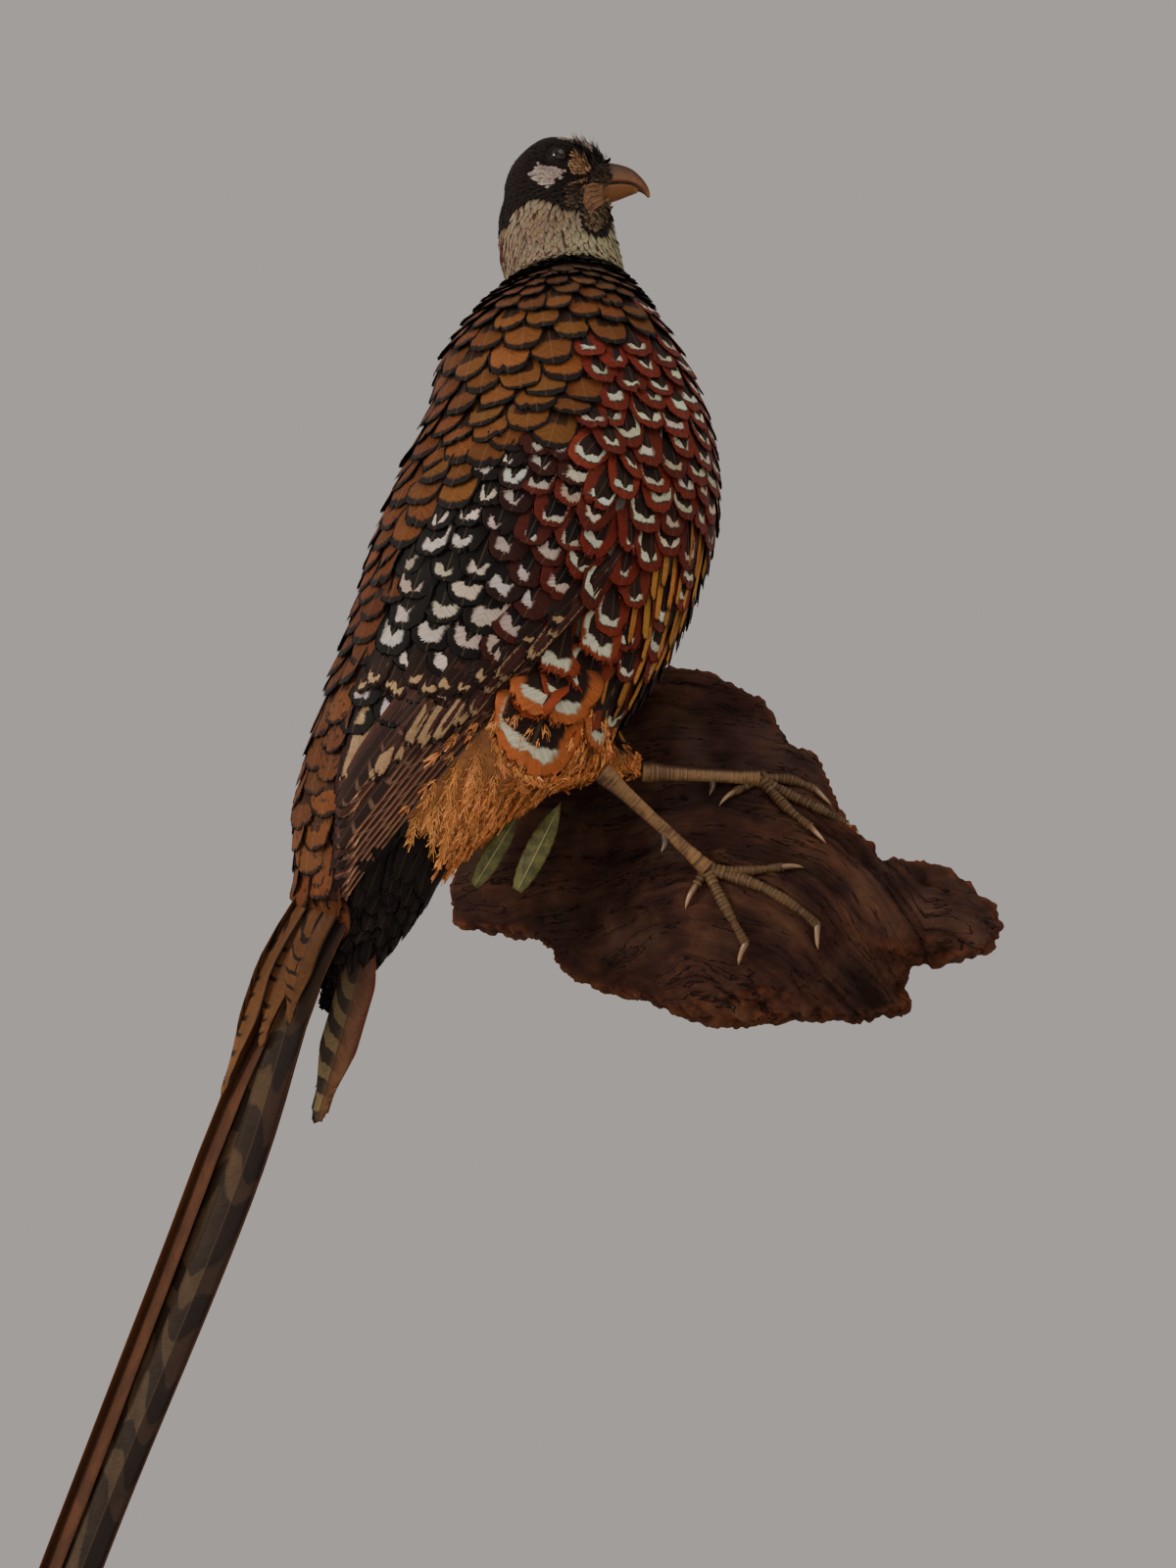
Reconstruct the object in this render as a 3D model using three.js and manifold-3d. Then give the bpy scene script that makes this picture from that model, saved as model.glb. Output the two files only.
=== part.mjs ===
// A mounted cock Reeves's pheasant on its wood wall slab, life size.
// Millimetres, +Z up. The wall is the plane y = 0 and everything stands out from it toward -Y.
// The bird is built in its own frame: +X forward along the back, +Y to its left, +Z out of its back.
import * as THREE from 'three';
import Module from 'manifold-3d';

const wasm = await Module();
wasm.setup();

// Driving dimensions
const gap = 0.3;                          // clearance left between neighbours
const birdPlace = [80, -140, 160];        // middle of the trunk, from the middle of the slab's back
const birdPitch = 23.2;                   // degrees the back climbs toward the head
const birdLean = 28;                      // degrees the bird leans out from the wall

const tailLength = 1000;                  // from the rump to the tip of the longest feathers
const tailRoot = [-212, 34];              // forward and up of the tail's root
const wingPlateThickness = 9;
const eyeRadius = 5.6;
const eyeCentre = [212.5, 73];            // forward and up
const eyeSpread = 13.4;                   // eye centre from the head's middle plane
const tarsusDepth = 4.9;                  // half depth, front to back
const tarsusWidth = 3.4;                  // half width, side to side
const toeRadius = 3.1;
const clawLength = 13;
const clawRadius = 1.9;
const slabBackInset = 0.93;               // the flat back's outline against the front's
const slabBase = 30;                      // thickness of the slab away from its swells
const slabPoints = 56;                    // points round its outline

// Trunk sections, front to back: forward, top, bottom, half width
const trunkSections = [
  [170, 36, 26, 5],
  [167, 47, 14, 18],
  [159, 57, -2, 32],
  [145, 67, -22, 46],
  [124, 78, -47, 60],
  [99, 87, -69, 70],
  [72, 90.5, -84, 77],
  [44, 84, -93, 81],
  [8, 86, -96, 82],
  [-37, 84, -94, 77],
  [-80, 78, -82, 68],
  [-115, 76, -64, 58],
  [-149, 72, -44, 48],
];

// Rump sections, carrying on from the trunk to the root of the tail
const rumpSections = [
  [-149, 72, -44, 48],
  [-170, 69, -32, 41],
  [-190, 63.5, -20, 34],
  [-208, 55, -12, 28],
  [-222, 49, 2, 22],
  [-232, 45, 12, 15],
];

// Loft stations in the middle plane: top forward, top up, bottom forward, bottom up, half width
const neckStations = [
  [120, 56, 142, 8, 22],
  [136.5, 72.5, 172, 13, 30],
  [149, 82, 183, 22, 27.5],
  [164, 89.5, 193, 28, 24.5],
  [182, 94, 203, 34, 21],
  [199, 90, 208, 46, 15],
  [206, 80, 207, 60, 8],
];

const headStations = [
  [203, 96.5, 191, 96, 4],
  [213, 93, 184, 93, 12],
  [224, 87, 186, 84, 16.5],
  [229.5, 79, 189, 70, 17.6],
  [232.5, 69, 192, 58, 17],
  [234, 59, 196, 48, 14.5],
  [232, 50.5, 201, 42.5, 11],
  [228.5, 45.8, 206, 40, 8],
  [225, 42.5, 211, 38.5, 5],
];

const upperBillStations = [
  [228.5, 50, 216, 50, 6.6],
  [231.4, 39, 220.4, 38, 5.7],
  [231.6, 32, 222.2, 29.5, 4.4],
  [228.8, 24.5, 222.6, 23.6, 3],
  [225, 19.4, 221.8, 20.6, 1.9],
  [221.2, 17, 220.2, 18, 0.7],
];

const lowerBillStations = [
  [216, 50, 204, 46, 6.2],
  [219.6, 37.6, 209.4, 35.6, 5.2],
  [221.4, 29.4, 215.4, 27.4, 3.7],
  [221.4, 24.6, 219.2, 23.6, 1.8],
];

const undertailStations = [
  [-142, -10, -150, -38, 24],
  [-170, 8, -180, -28, 24],
  [-198, 22, -206, -21, 20],
  [-224, 28, -230, -15, 14],
  [-250, 20, -253, -7, 9],
  [-276, 9, -277, 3, 3],
];

// Tail sections: share of the length, ridge above the root line, half height, half width
const tailSections = [
  [0, 0, 11, 15],
  [0.05, 0, 14.5, 20],
  [0.13, -11, 18, 23],
  [0.23, -15, 16, 22],
  [0.33, -16, 14, 21],
  [0.5, -24, 13, 20],
  [0.7, -40, 10.5, 17],
  [0.87, -57, 7.5, 12],
  [0.96, -68, 4.5, 7],
  [1, -73, 1.6, 2.4],
];

// Wing edges, wrist to tip: forward, lower edge up, upper edge up, share of the plate thickness
const rightWing = {
  side: -1,
  stations: [
    [60, -4, 26, 0.35],
    [46, -26, 46, 0.8],
    [18, -39, 62, 1],
    [-18, -42, 69, 1],
    [-66, -28, 69, 0.95],
    [-108, -14, 66, 0.85],
    [-150, 1, 60, 0.7],
    [-190, 13, 50, 0.55],
    [-226, 21, 34, 0.4],
  ],
  hang: 0.8,
};
const leftWing = {
  side: 1,
  stations: [
    [70, -48, 10, 0.35],
    [58, -78, 38, 0.8],
    [40, -98, 58, 1],
    [8, -101, 67, 1],
    [-44, -70, 68, 0.95],
    [-96, -34, 66, 0.85],
    [-148, -4, 60, 0.7],
    [-190, 11, 50, 0.55],
    [-226, 21, 34, 0.4],
  ],
  hang: 0.76,
};

// Legs. The ankle is in the bird's frame, feet and toes are x, z places on the slab's face.
const rightLeg = {
  name: 'right',
  side: -1,
  hip: [-84, -50, -26],
  ankle: [-105, -21, -79],
  thighRadii: [38, 34, 20, 5.4],
  foot: [15.5, -21],
  spur: 0.62,
  toes: [
    { name: 'inner', path: [[7.5, -44.5], [0.5, -64.5]], claw: [-13.5, -68] },
    { name: 'middle', path: [[28, -48.5], [33.5, -72], [34, -84]], claw: [25.5, -91] },
    { name: 'outer', path: [[27.5, -36], [44.5, -47.5]], claw: [54.5, -55] },
    { name: 'hind', path: [[4, -24.5]], claw: [-7, -28] },
  ],
};
const leftLeg = {
  name: 'left',
  side: 1,
  hip: [-74, 50, -28],
  ankle: [-89, 19, -104],
  thighRadii: [38, 33, 14, 5.2],
  foot: [74, 5.5],
  spur: 0.6,
  toes: [
    { name: 'inner', path: [[85.5, -5.5], [91.5, -19]], claw: [91, -34] },
    { name: 'middle', path: [[79, -14], [84.5, -32], [88.5, -45.5]], claw: [88.5, -64.5] },
    { name: 'outer', path: [[72, -19.5], [72.5, -38]], claw: [71.5, -50] },
    { name: 'hind', path: [[58, 8]], claw: [42.5, 6.5] },
  ],
};

// Slab outline seen from the front, anticlockwise from the right: x, z
const slabOutline = [
  [103, 12], [104, 25], [112, 40], [108, 66], [93, 104], [66, 132], [34, 150], [-4, 153],
  [-40, 142], [-72, 128], [-101, 108], [-111, 93], [-95, 66], [-80, 46], [-86, 26], [-76, -6],
  [-62, -33], [-49, -64], [-43, -75], [-26, -84], [-8, -104], [9, -122], [24, -136], [41, -142],
  [43, -128], [54, -121], [60, -131], [67, -139], [84, -146], [100, -153], [107, -144],
  [108, -117], [101, -92], [86, -74], [89, -62], [92, -36], [103, -13], [111, 3],
];
const slabSwells = [
  { x: 0, z: -25, height: 50, spread: 48 },
  { x: 34, z: -84, height: 16, spread: 26 },
  { x: 60, z: 80, height: 10, spread: 45 },
  { x: -70, z: 90, height: 8, spread: 30 },
  { x: 84, z: -118, height: 18, spread: 17 },
  { x: 98, z: -12, height: -12, spread: 22 },
];

// Loose leaves fixed under the belly: root, tip and half width in the bird's frame
const leaves = [
  { root: [-128, -13, -66], tip: [-181, -14, -62], halfWidth: 7 },
  { root: [-140, -6, -48], tip: [-187, -8, -40], halfWidth: 6 },
];

const colours = {
  dark: 0x2a1f1c, white: 0xd8d0c8, gold: 0xa8712e, chestnut: 0x6e2417, wing: 0x40302c,
  buff: 0xb87a42, horn: 0xb98d5c, leg: 0x7a6142, toe: 0x4f4431, claw: 0xa8815f, eye: 0x0c0806,
  tail: 0x84684a, vent: 0x1d1614, wood: 0x4a241c, leaf: 0x6b7438,
};

// --- Shape helpers ---

const vector = (x, y, z) => new THREE.Vector3(x, y, z);

function curveThrough(points) {
  const curve = new THREE.CatmullRomCurve3(points, false, 'catmullrom', 0.5);
  return (t) => curve.getPoint(THREE.MathUtils.clamp(t, 0, 1));
}

// Rows of numbers as one smooth function of t, giving a row at any place between them
function blend(rows) {
  const columns = rows[0].map((_, i) => curveThrough(rows.map((row) => vector(row[i], 0, 0))));
  return (t) => columns.map((column) => column(t).x);
}

function turnOutward(geometry) {
  const place = geometry.getAttribute('position');
  const index = geometry.getIndex().array;
  let volume = 0;
  for (let i = 0; i < index.length; i += 3) {
    const [a, b, c] = [0, 1, 2].map((k) => vector().fromBufferAttribute(place, index[i + k]));
    volume += a.dot(b.cross(c));
  }
  if (volume < 0) index.reverse();
  return geometry;
}

// Closed solid through rings of points. Each end is closed by strips across its ring.
function ringSolid(rings) {
  const count = rings[0].length;
  const positions = rings.flat().flatMap((p) => [p.x, p.y, p.z]);
  const faces = [];
  for (let k = 0; k + 1 < rings.length; k += 1) {
    for (let i = 0; i < count; i += 1) {
      const next = (i + 1) % count;
      const [a, b] = [k * count + i, k * count + next];
      faces.push(a, b, b + count, a, b + count, a + count);
    }
  }
  const last = (rings.length - 1) * count;
  for (let i = 0; i + 1 < count / 2; i += 1) {
    const [a, b, c, d] = [i, i + 1, count - 2 - i, count - 1 - i];
    faces.push(a, c, b, a, d, c);
    faces.push(last + a, last + b, last + c, last + a, last + c, last + d);
  }
  const geometry = new THREE.BufferGeometry();
  geometry.setAttribute('position', new THREE.Float32BufferAttribute(positions, 3));
  geometry.setIndex(faces);
  return turnOutward(geometry);
}

// Oval ring: up and side are its half axes, power above 2 makes it squarer
function oval(centre, up, side, count, power = 2) {
  const fold = (value) => Math.sign(value) * Math.abs(value) ** (2 / power);
  const points = [];
  for (let i = 0; i < count; i += 1) {
    const angle = ((i + 0.5) / count) * Math.PI * 2;
    const point = centre.clone().addScaledVector(up, fold(Math.cos(angle)));
    points.push(point.addScaledVector(side, fold(Math.sin(angle))));
  }
  return points;
}

// Loft in the middle plane through stations of top point, bottom point and half width
function loft(stations, steps, count, grow = 0) {
  const at = blend(stations);
  const rings = [];
  for (let k = 0; k <= steps; k += 1) {
    const [topX, topZ, bottomX, bottomZ, half] = at(k / steps);
    const centre = vector((topX + bottomX) / 2, 0, (topZ + bottomZ) / 2);
    const up = vector((topX - bottomX) / 2, 0, (topZ - bottomZ) / 2);
    up.setLength(up.length() + grow);
    rings.push(oval(centre, up, vector(0, half + grow, 0), count, 2.15));
  }
  const lengthen = (ring, inner) => {
    const middle = (points) => points.reduce((sum, p) => sum.add(p), vector(0, 0, 0))
      .divideScalar(points.length);
    const away = middle(ring).sub(middle(inner)).setLength(grow);
    ring.forEach((p) => p.add(away));
  };
  if (grow > 0) {
    lengthen(rings[0], rings[1]);
    lengthen(rings[steps], rings[steps - 1]);
  }
  return ringSolid(rings);
}

// Round or oval tube through points. Radii are [side, depth] pairs; depth lies across "face".
function limb(points, radii, face, steps, count, grow = 0) {
  const path = curveThrough(points);
  const size = blend(radii);
  const rings = [];
  for (let k = 0; k <= steps; k += 1) {
    const t = k / steps;
    const along = path(t + 0.01).sub(path(t - 0.01)).normalize();
    const side = vector().crossVectors(along, face).normalize();
    const deep = vector().crossVectors(side, along);
    const [sideRadius, deepRadius] = size(t);
    const end = (k === steps ? grow : 0) - (k === 0 ? grow : 0);
    const centre = path(t).addScaledVector(along, end);
    rings.push(oval(centre, deep.multiplyScalar(deepRadius + grow),
      side.multiplyScalar(sideRadius + grow), count));
  }
  return ringSolid(rings);
}

function toSolid(geometry) {
  const vertProperties = Float32Array.from(geometry.getAttribute('position').array);
  const triVerts = Uint32Array.from(geometry.getIndex().array);
  return new wasm.Manifold(new wasm.Mesh({ numProp: 3, vertProperties, triVerts }));
}

function fromSolid(solid) {
  const { vertProperties, triVerts } = solid.getMesh();
  const geometry = new THREE.BufferGeometry();
  geometry.setAttribute('position', new THREE.BufferAttribute(vertProperties, 3));
  geometry.setIndex(new THREE.BufferAttribute(triVerts, 1));
  return geometry;
}

// What is left of a shape once its neighbours are cut away: its largest piece
function cutBy(geometry, neighbours) {
  let solid = toSolid(geometry);
  neighbours.forEach((neighbour) => {
    solid = solid.subtract(toSolid(neighbour));
  });
  const pieces = solid.decompose();
  return fromSolid(pieces.reduce((a, b) => (a.volume() > b.volume() ? a : b)));
}

// --- Groups ---

const model = new THREE.Group();
const bird = new THREE.Group();
bird.position.set(...birdPlace);
bird.rotation.set(
  THREE.MathUtils.degToRad(birdLean),
  THREE.MathUtils.degToRad(-birdPitch),
  0,
  'YXZ',
);
model.add(bird);
model.updateMatrixWorld(true);
const toBird = bird.matrixWorld.clone().invert();

function addNode(group, name, geometry, colour, roughness = 0.8) {
  const material = new THREE.MeshStandardMaterial({ color: colour, roughness, metalness: 0 });
  const mesh = new THREE.Mesh(geometry, material);
  mesh.name = name;
  group.add(mesh);
}

// --- Trunk and rump ---

function trunkLike(sections, steps, grow = 0) {
  const at = blend(sections);
  const rings = [];
  for (let k = 0; k <= steps; k += 1) {
    const [x, top, bottom, half] = at(k / steps);
    const end = (k === 0 ? grow : 0) - (k === steps ? grow : 0);
    const centre = vector(x + end, 0, (top + bottom) / 2);
    rings.push(oval(centre, vector(0, 0, (top - bottom) / 2 + grow),
      vector(0, half + grow, 0), 22, 2.2));
  }
  return ringSolid(rings);
}

// Half width of the body at a place on its side
function flank(forward, up) {
  const sections = [...trunkSections, ...rumpSections.slice(1)];
  const after = sections.findIndex((section) => section[0] <= forward);
  const b = sections[Math.max(after, 1)];
  const a = sections[Math.max(after, 1) - 1];
  const share = THREE.MathUtils.clamp((forward - a[0]) / (b[0] - a[0]), 0, 1);
  const [top, bottom, half] = [1, 2, 3].map((i) => THREE.MathUtils.lerp(a[i], b[i], share));
  const height = Math.abs(up - (top + bottom) / 2) / ((top - bottom) / 2);
  return { half, width: half * Math.max(0, 1 - height ** 2.2) ** (1 / 2.2) };
}

const trunk = (grow) => trunkLike(trunkSections, 16, grow);
const rump = (grow) => {
  const rings = rumpSections.map((section) => [...section]);
  rings[0][0] -= grow === 0 ? gap : 0;
  return trunkLike(rings, 6, grow);
};

// --- Head, bill and eyes ---

const head = (grow) => loft(headStations, 11, 14, grow);
const upperBill = (grow) => loft(upperBillStations, 8, 10, grow);
const lowerBill = (grow) => loft(lowerBillStations, 5, 8, grow);
const neck = (grow) => loft(neckStations, 7, 16, grow);

function eye(side, grow) {
  const rings = [];
  const turns = 5;
  const radius = eyeRadius + grow;
  for (let k = 0; k <= turns; k += 1) {
    const angle = 0.12 + (k / turns) * (Math.PI - 0.24);
    const centre = vector(eyeCentre[0], side * eyeSpread + Math.cos(angle) * radius, eyeCentre[1]);
    const size = Math.sin(angle) * radius;
    rings.push(oval(centre, vector(0, 0, size), vector(size, 0, 0), 10));
  }
  return ringSolid(rings);
}

// --- Wings ---

function wing({ side, stations, hang }, grow) {
  const at = blend(stations);
  const [steps, columns] = [11, 5];
  const rings = [];
  for (let k = 0; k <= steps; k += 1) {
    const [forward, low, high, share] = at(k / steps);
    const thick = wingPlateThickness * share;
    const edge = (v, out) => {
      const up = THREE.MathUtils.lerp(low - grow, high + grow, v);
      const { half, width } = flank(forward, up);
      const rest = Math.max(width, v < 0.5 ? half * hang : 0, 14);
      const round = Math.sqrt(Math.max(0.2, 1 - (2 * v - 1) ** 4));
      const away = out ? rest + thick * round + grow : rest - 2 - grow;
      return vector(forward, side * away, up);
    };
    const ring = [];
    for (let i = 0; i <= columns; i += 1) ring.push(edge(i / columns, true));
    for (let i = columns; i >= 0; i -= 1) ring.push(edge(i / columns, false));
    rings.push(ring);
  }
  return ringSolid(rings);
}

// --- Tail ---

// Roof-shaped section: two broad feathers meet at the ridge and slope down to each side
const tailRoof = [[1, -1], [0.62, -0.18], [0.3, 0.5], [0, 1], [-0.3, 0.5], [-0.62, -0.18], [-1, -1]];

function tail(grow) {
  const at = blend(tailSections);
  const steps = 16;
  const rings = [];
  for (let k = 0; k <= steps; k += 1) {
    const [share, drop, halfHeight, halfWidth] = at(k / steps);
    const x = tailRoot[0] - share * tailLength;
    const z = tailRoot[1] + drop;
    const wall = Math.min(2.2, halfHeight * 0.45) + grow;
    const place = (a, b, shift) => vector(x, a * (halfWidth + grow), z + b * halfHeight + shift);
    const top = tailRoof.map(([a, b]) => place(a, b, wall * 0.5));
    const under = tailRoof.map(([a, b]) => place(a * 0.93, b, -wall)).reverse();
    rings.push([...top, ...under]);
  }
  return ringSolid(rings);
}

const undertail = (grow) => loft(undertailStations, 7, 14, grow);

// A flat blade between two places: a lens outline with a little arch across it
function blade(root, tip, halfWidth, halfThick, face, blunt, grow = 0) {
  const along = tip.clone().sub(root);
  const steps = 7;
  const across = vector().crossVectors(along, face).normalize();
  const rings = [];
  for (let k = 0; k <= steps; k += 1) {
    const t = k / steps;
    const fullness = Math.max(0.14, Math.sin(Math.PI * t ** blunt) ** 0.7);
    const centre = root.clone().addScaledVector(along, t)
      .addScaledVector(face, Math.sin(Math.PI * t) * halfWidth * 0.35);
    rings.push(oval(centre, face.clone().multiplyScalar(halfThick + grow),
      across.clone().multiplyScalar(halfWidth * fullness + grow), 8));
  }
  return ringSolid(rings);
}

// --- Legs ---

const slabHeight = (x, z) => slabSwells.reduce((height, swell) => {
  const far = ((x - swell.x) ** 2 + (z - swell.z) ** 2) / (2 * swell.spread ** 2);
  return height + swell.height * Math.exp(-far);
}, slabBase);

const onSlab = ([x, z], lift) => vector(x, -slabHeight(x, z) - lift, z).applyMatrix4(toBird);

function thigh(leg, grow) {
  const hip = vector(...leg.hip);
  const ankle = vector(...leg.ankle);
  const knee = hip.clone().lerp(ankle, 0.42).add(vector(-4, leg.side * 3, 0));
  const shin = hip.clone().lerp(ankle, 0.78);
  const radii = leg.thighRadii.map((radius) => [radius * 0.62, radius]);
  return limb([hip, knee, shin, ankle], radii, vector(1, 0, 0), 8, 12, grow);
}

const footTop = (leg) => onSlab(leg.foot, tarsusDepth + 1.2);

function tarsus(leg, grow) {
  const ankle = vector(...leg.ankle);
  const foot = footTop(leg);
  const radii = [[4.6, 6], [tarsusWidth, tarsusDepth], [3.1, 4.4], [3.2, 4.4], [4.2, 4.8]];
  const points = [0, 0.2, 0.5, 0.8, 1].map((t) => ankle.clone().lerp(foot, t));
  return limb(points, radii, vector(1, 0, 0), 7, 8, grow);
}

function spur(leg, grow) {
  const ankle = vector(...leg.ankle);
  const down = footTop(leg).sub(ankle);
  const root = ankle.addScaledVector(down, leg.spur);
  const back = vector(-1, 0, -0.25).normalize();
  const points = [0, 0.5, 1].map((t) => root.clone().addScaledVector(back, 3 + t * 9)
    .add(vector(0, -leg.side * t * 1.5, 0)));
  return limb(points, [[2.4, 2.4], [1.7, 1.7], [0.4, 0.4]], vector(0, 1, 0), 3, 6, grow);
}

// Toe centre line: starts under the foot's ball and follows the slab's face
function toePoints(leg, toe) {
  const start = onSlab(leg.foot, tarsusDepth - 0.6);
  const path = toe.path.map((place, i) => onSlab(place, toeRadius * (1 - 0.1 * i)));
  return [start, ...path];
}

function toeShape(leg, toe, grow) {
  const points = toePoints(leg, toe);
  const steps = 2 * points.length;
  const radii = [];
  for (let k = 0; k <= steps; k += 1) {
    const t = k / steps;
    const joint = 0.22 * Math.cos(t * Math.PI * 2 * (points.length - 1));
    radii.push([toeRadius * (1.1 - 0.34 * t) + joint, toeRadius * (1.05 - 0.36 * t) + joint]);
  }
  return limb(points, radii, outOfSlab, steps, 6, grow);
}

const outOfSlab = vector(0, -1, 0).transformDirection(toBird);

function claw(leg, toe, grow) {
  const points = toePoints(leg, toe);
  const root = points[points.length - 1];
  const aim = onSlab(toe.claw, 0.6).sub(root).setLength(clawLength);
  const rise = outOfSlab.clone().multiplyScalar(2.4);
  const path = [
    root.clone().addScaledVector(aim, -0.12),
    root.clone().addScaledVector(aim, 0.35).add(rise),
    root.clone().addScaledVector(aim, 0.75).addScaledVector(rise, 0.7),
    root.clone().addScaledVector(aim, 1).addScaledVector(rise, -0.35),
  ];
  const radii = [[clawRadius, clawRadius], [1.6, 1.8], [1, 1.2], [0.35, 0.35]];
  return limb(path, radii, outOfSlab, 4, 6, grow);
}

function foot(leg, grow) {
  const ball = limb(
    [onSlab(leg.foot, tarsusDepth + 2.2), onSlab(leg.foot, 0.8)],
    [[5.4, 5.4], [5, 5]],
    vector(0, 0, 1).transformDirection(toBird),
    2,
    8,
    grow,
  );
  const toes = leg.toes.map((toe) => toSolid(toeShape(leg, toe, grow)));
  return fromSolid(toes.reduce((whole, toe) => whole.add(toe), toSolid(ball)));
}

// --- Slab ---

// Rings from the flat back, out over the rim and in across the swollen front
function slab() {
  const outline = new THREE.CatmullRomCurve3(
    slabOutline.map(([x, z]) => vector(x, 0, z)),
    true,
    'catmullrom',
    0.5,
  ).getSpacedPoints(slabPoints).slice(0, slabPoints);
  const ragged = (i) => 1 + 0.012 * Math.sin(i * 1.9) + 0.01 * Math.sin(i * 3.7 + 1);
  const ringAt = (scale, height) => outline.map((p, i) => {
    const [x, z] = [p.x * scale * ragged(i), p.z * scale * ragged(i)];
    return vector(x, -height(x, z, i), z);
  });
  const rim = (share) => (x, z, i) => share * slabHeight(x, z) * (0.86 + 0.07 * Math.sin(i * 0.9));
  const front = (x, z) => slabHeight(x, z) + 1.1 * Math.sin(x * 0.11 + z * 0.05);
  const backRings = [ringAt(0.05, () => 0), ringAt(slabBackInset, () => 0)];
  const rimRings = [ringAt(0.985, rim(0.3)), ringAt(1, rim(0.72)), ringAt(0.985, rim(0.98))];
  const frontRings = [0.84, 0.6, 0.32, 0.05].map((scale) => ringAt(scale, front));
  return ringSolid([...backRings, ...rimRings, ...frontRings]);
}

// --- Assembly ---

addNode(bird, 'trunk', trunk(0), colours.chestnut);
addNode(bird, 'rump', rump(0), colours.gold);
const body = [trunk(gap), rump(gap)];

const features = [upperBill, lowerBill, (grow) => eye(-1, grow), (grow) => eye(1, grow)];
addNode(bird, 'head', cutBy(head(0), features.map((feature) => feature(gap))), colours.dark);
addNode(bird, 'neck', cutBy(neck(0), [head(gap), ...body]), colours.white);
addNode(bird, 'bill_upper', upperBill(0), colours.horn, 0.5);
addNode(bird, 'bill_lower', cutBy(lowerBill(0), [upperBill(gap)]), colours.horn, 0.5);
addNode(bird, 'eye_right', eye(-1, 0), colours.eye, 0.1);
addNode(bird, 'eye_left', eye(1, 0), colours.eye, 0.1);

addNode(bird, 'wing_right', cutBy(wing(rightWing, 0), body), colours.wing);
addNode(bird, 'wing_left', cutBy(wing(leftWing, 0), body), colours.wing);
const wings = [wing(rightWing, gap), wing(leftWing, gap)];

addNode(bird, 'tail', cutBy(tail(0), [...body, ...wings]), colours.tail);
addNode(bird, 'undertail', cutBy(undertail(0), [...body, ...wings, tail(gap)]), colours.vent);
const outerRectrix = blade(
  vector(-232, -10, 0),
  vector(-331, -12, -11),
  11,
  0.8,
  vector(0, -1, 0),
  0.8,
);
const tailMass = [tail(gap), undertail(gap), ...body, ...wings];
addNode(bird, 'tail_outer', cutBy(outerRectrix, tailMass), colours.tail);

[rightLeg, leftLeg].forEach((leg) => {
  const shank = tarsus(leg, gap);
  const claws = leg.toes.map((toe) => claw(leg, toe, gap));
  addNode(bird, `thigh_${leg.name}`, cutBy(thigh(leg, 0), [...body, ...wings, shank]), colours.buff);
  addNode(bird, `tarsus_${leg.name}`, tarsus(leg, 0), colours.leg, 0.6);
  addNode(bird, `spur_${leg.name}`, cutBy(spur(leg, 0), [shank]), colours.claw, 0.5);
  addNode(bird, `foot_${leg.name}`, cutBy(foot(leg, 0), [shank, ...claws]), colours.toe, 0.6);
  leg.toes.forEach((toe) => {
    addNode(bird, `claw_${leg.name}_${toe.name}`, claw(leg, toe, 0), colours.claw, 0.4);
  });
});

const leafCutters = [trunk(2 * gap), rump(2 * gap), ...wings, undertail(gap)];
leaves.forEach(({ root, tip, halfWidth }, i) => {
  const shape = blade(vector(...root), vector(...tip), halfWidth, 0.7, vector(0, -1, 0), 1);
  const nearby = [...leafCutters, thigh(rightLeg, gap), thigh(leftLeg, gap)];
  addNode(bird, `leaf_${i + 1}`, cutBy(shape, nearby), colours.leaf);
});

const pressed = [rightLeg, leftLeg].flatMap((leg) => [
  foot(leg, gap),
  tarsus(leg, gap),
  ...leg.toes.map((toe) => claw(leg, toe, gap)),
]);
const pressedInWall = pressed.map((shape) => shape.applyMatrix4(bird.matrixWorld));
addNode(model, 'slab', cutBy(slab(), pressedInWall), colours.wood, 0.9);

export default model;
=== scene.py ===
import math
import bmesh
import bpy
import numpy as np
from mathutils import Matrix, Vector, noise
from mathutils.bvhtree import BVHTree


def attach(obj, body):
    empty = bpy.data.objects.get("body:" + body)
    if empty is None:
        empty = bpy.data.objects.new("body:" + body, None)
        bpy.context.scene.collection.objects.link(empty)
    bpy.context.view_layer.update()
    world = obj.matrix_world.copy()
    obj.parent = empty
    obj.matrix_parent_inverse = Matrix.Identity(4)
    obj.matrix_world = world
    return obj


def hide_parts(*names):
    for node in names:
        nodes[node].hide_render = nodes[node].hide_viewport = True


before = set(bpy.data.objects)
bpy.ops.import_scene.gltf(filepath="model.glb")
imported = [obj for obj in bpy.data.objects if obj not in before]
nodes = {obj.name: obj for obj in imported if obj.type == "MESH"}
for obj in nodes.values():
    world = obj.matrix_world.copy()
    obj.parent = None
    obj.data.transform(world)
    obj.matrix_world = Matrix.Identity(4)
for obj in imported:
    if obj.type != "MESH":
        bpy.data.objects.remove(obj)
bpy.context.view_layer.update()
print("frame loaded:", len(nodes), "nodes")

# the bird's own axes: forward along the back, left, and up out of the back
birdPose = {"place": (0.080, -0.140, 0.160), "pitch": 23.2, "lean": 28.0}
pitch, lean = math.radians(birdPose["pitch"]), math.radians(birdPose["lean"])
birdPlace = np.array(birdPose["place"])
forwardAxis = np.array([math.cos(pitch), 0, math.sin(pitch)])
upright = np.array([-math.sin(pitch), 0, math.cos(pitch)])
dorsalAxis = math.cos(lean) * upright + math.sin(lean) * np.array([0, -1.0, 0])
leftAxis = -np.cross(forwardAxis, dorsalAxis)
birdAxes = np.stack([forwardAxis, leftAxis, dorsalAxis])


def toBird(points):
    return (np.asarray(points) - birdPlace) @ birdAxes.T * 1000


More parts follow.
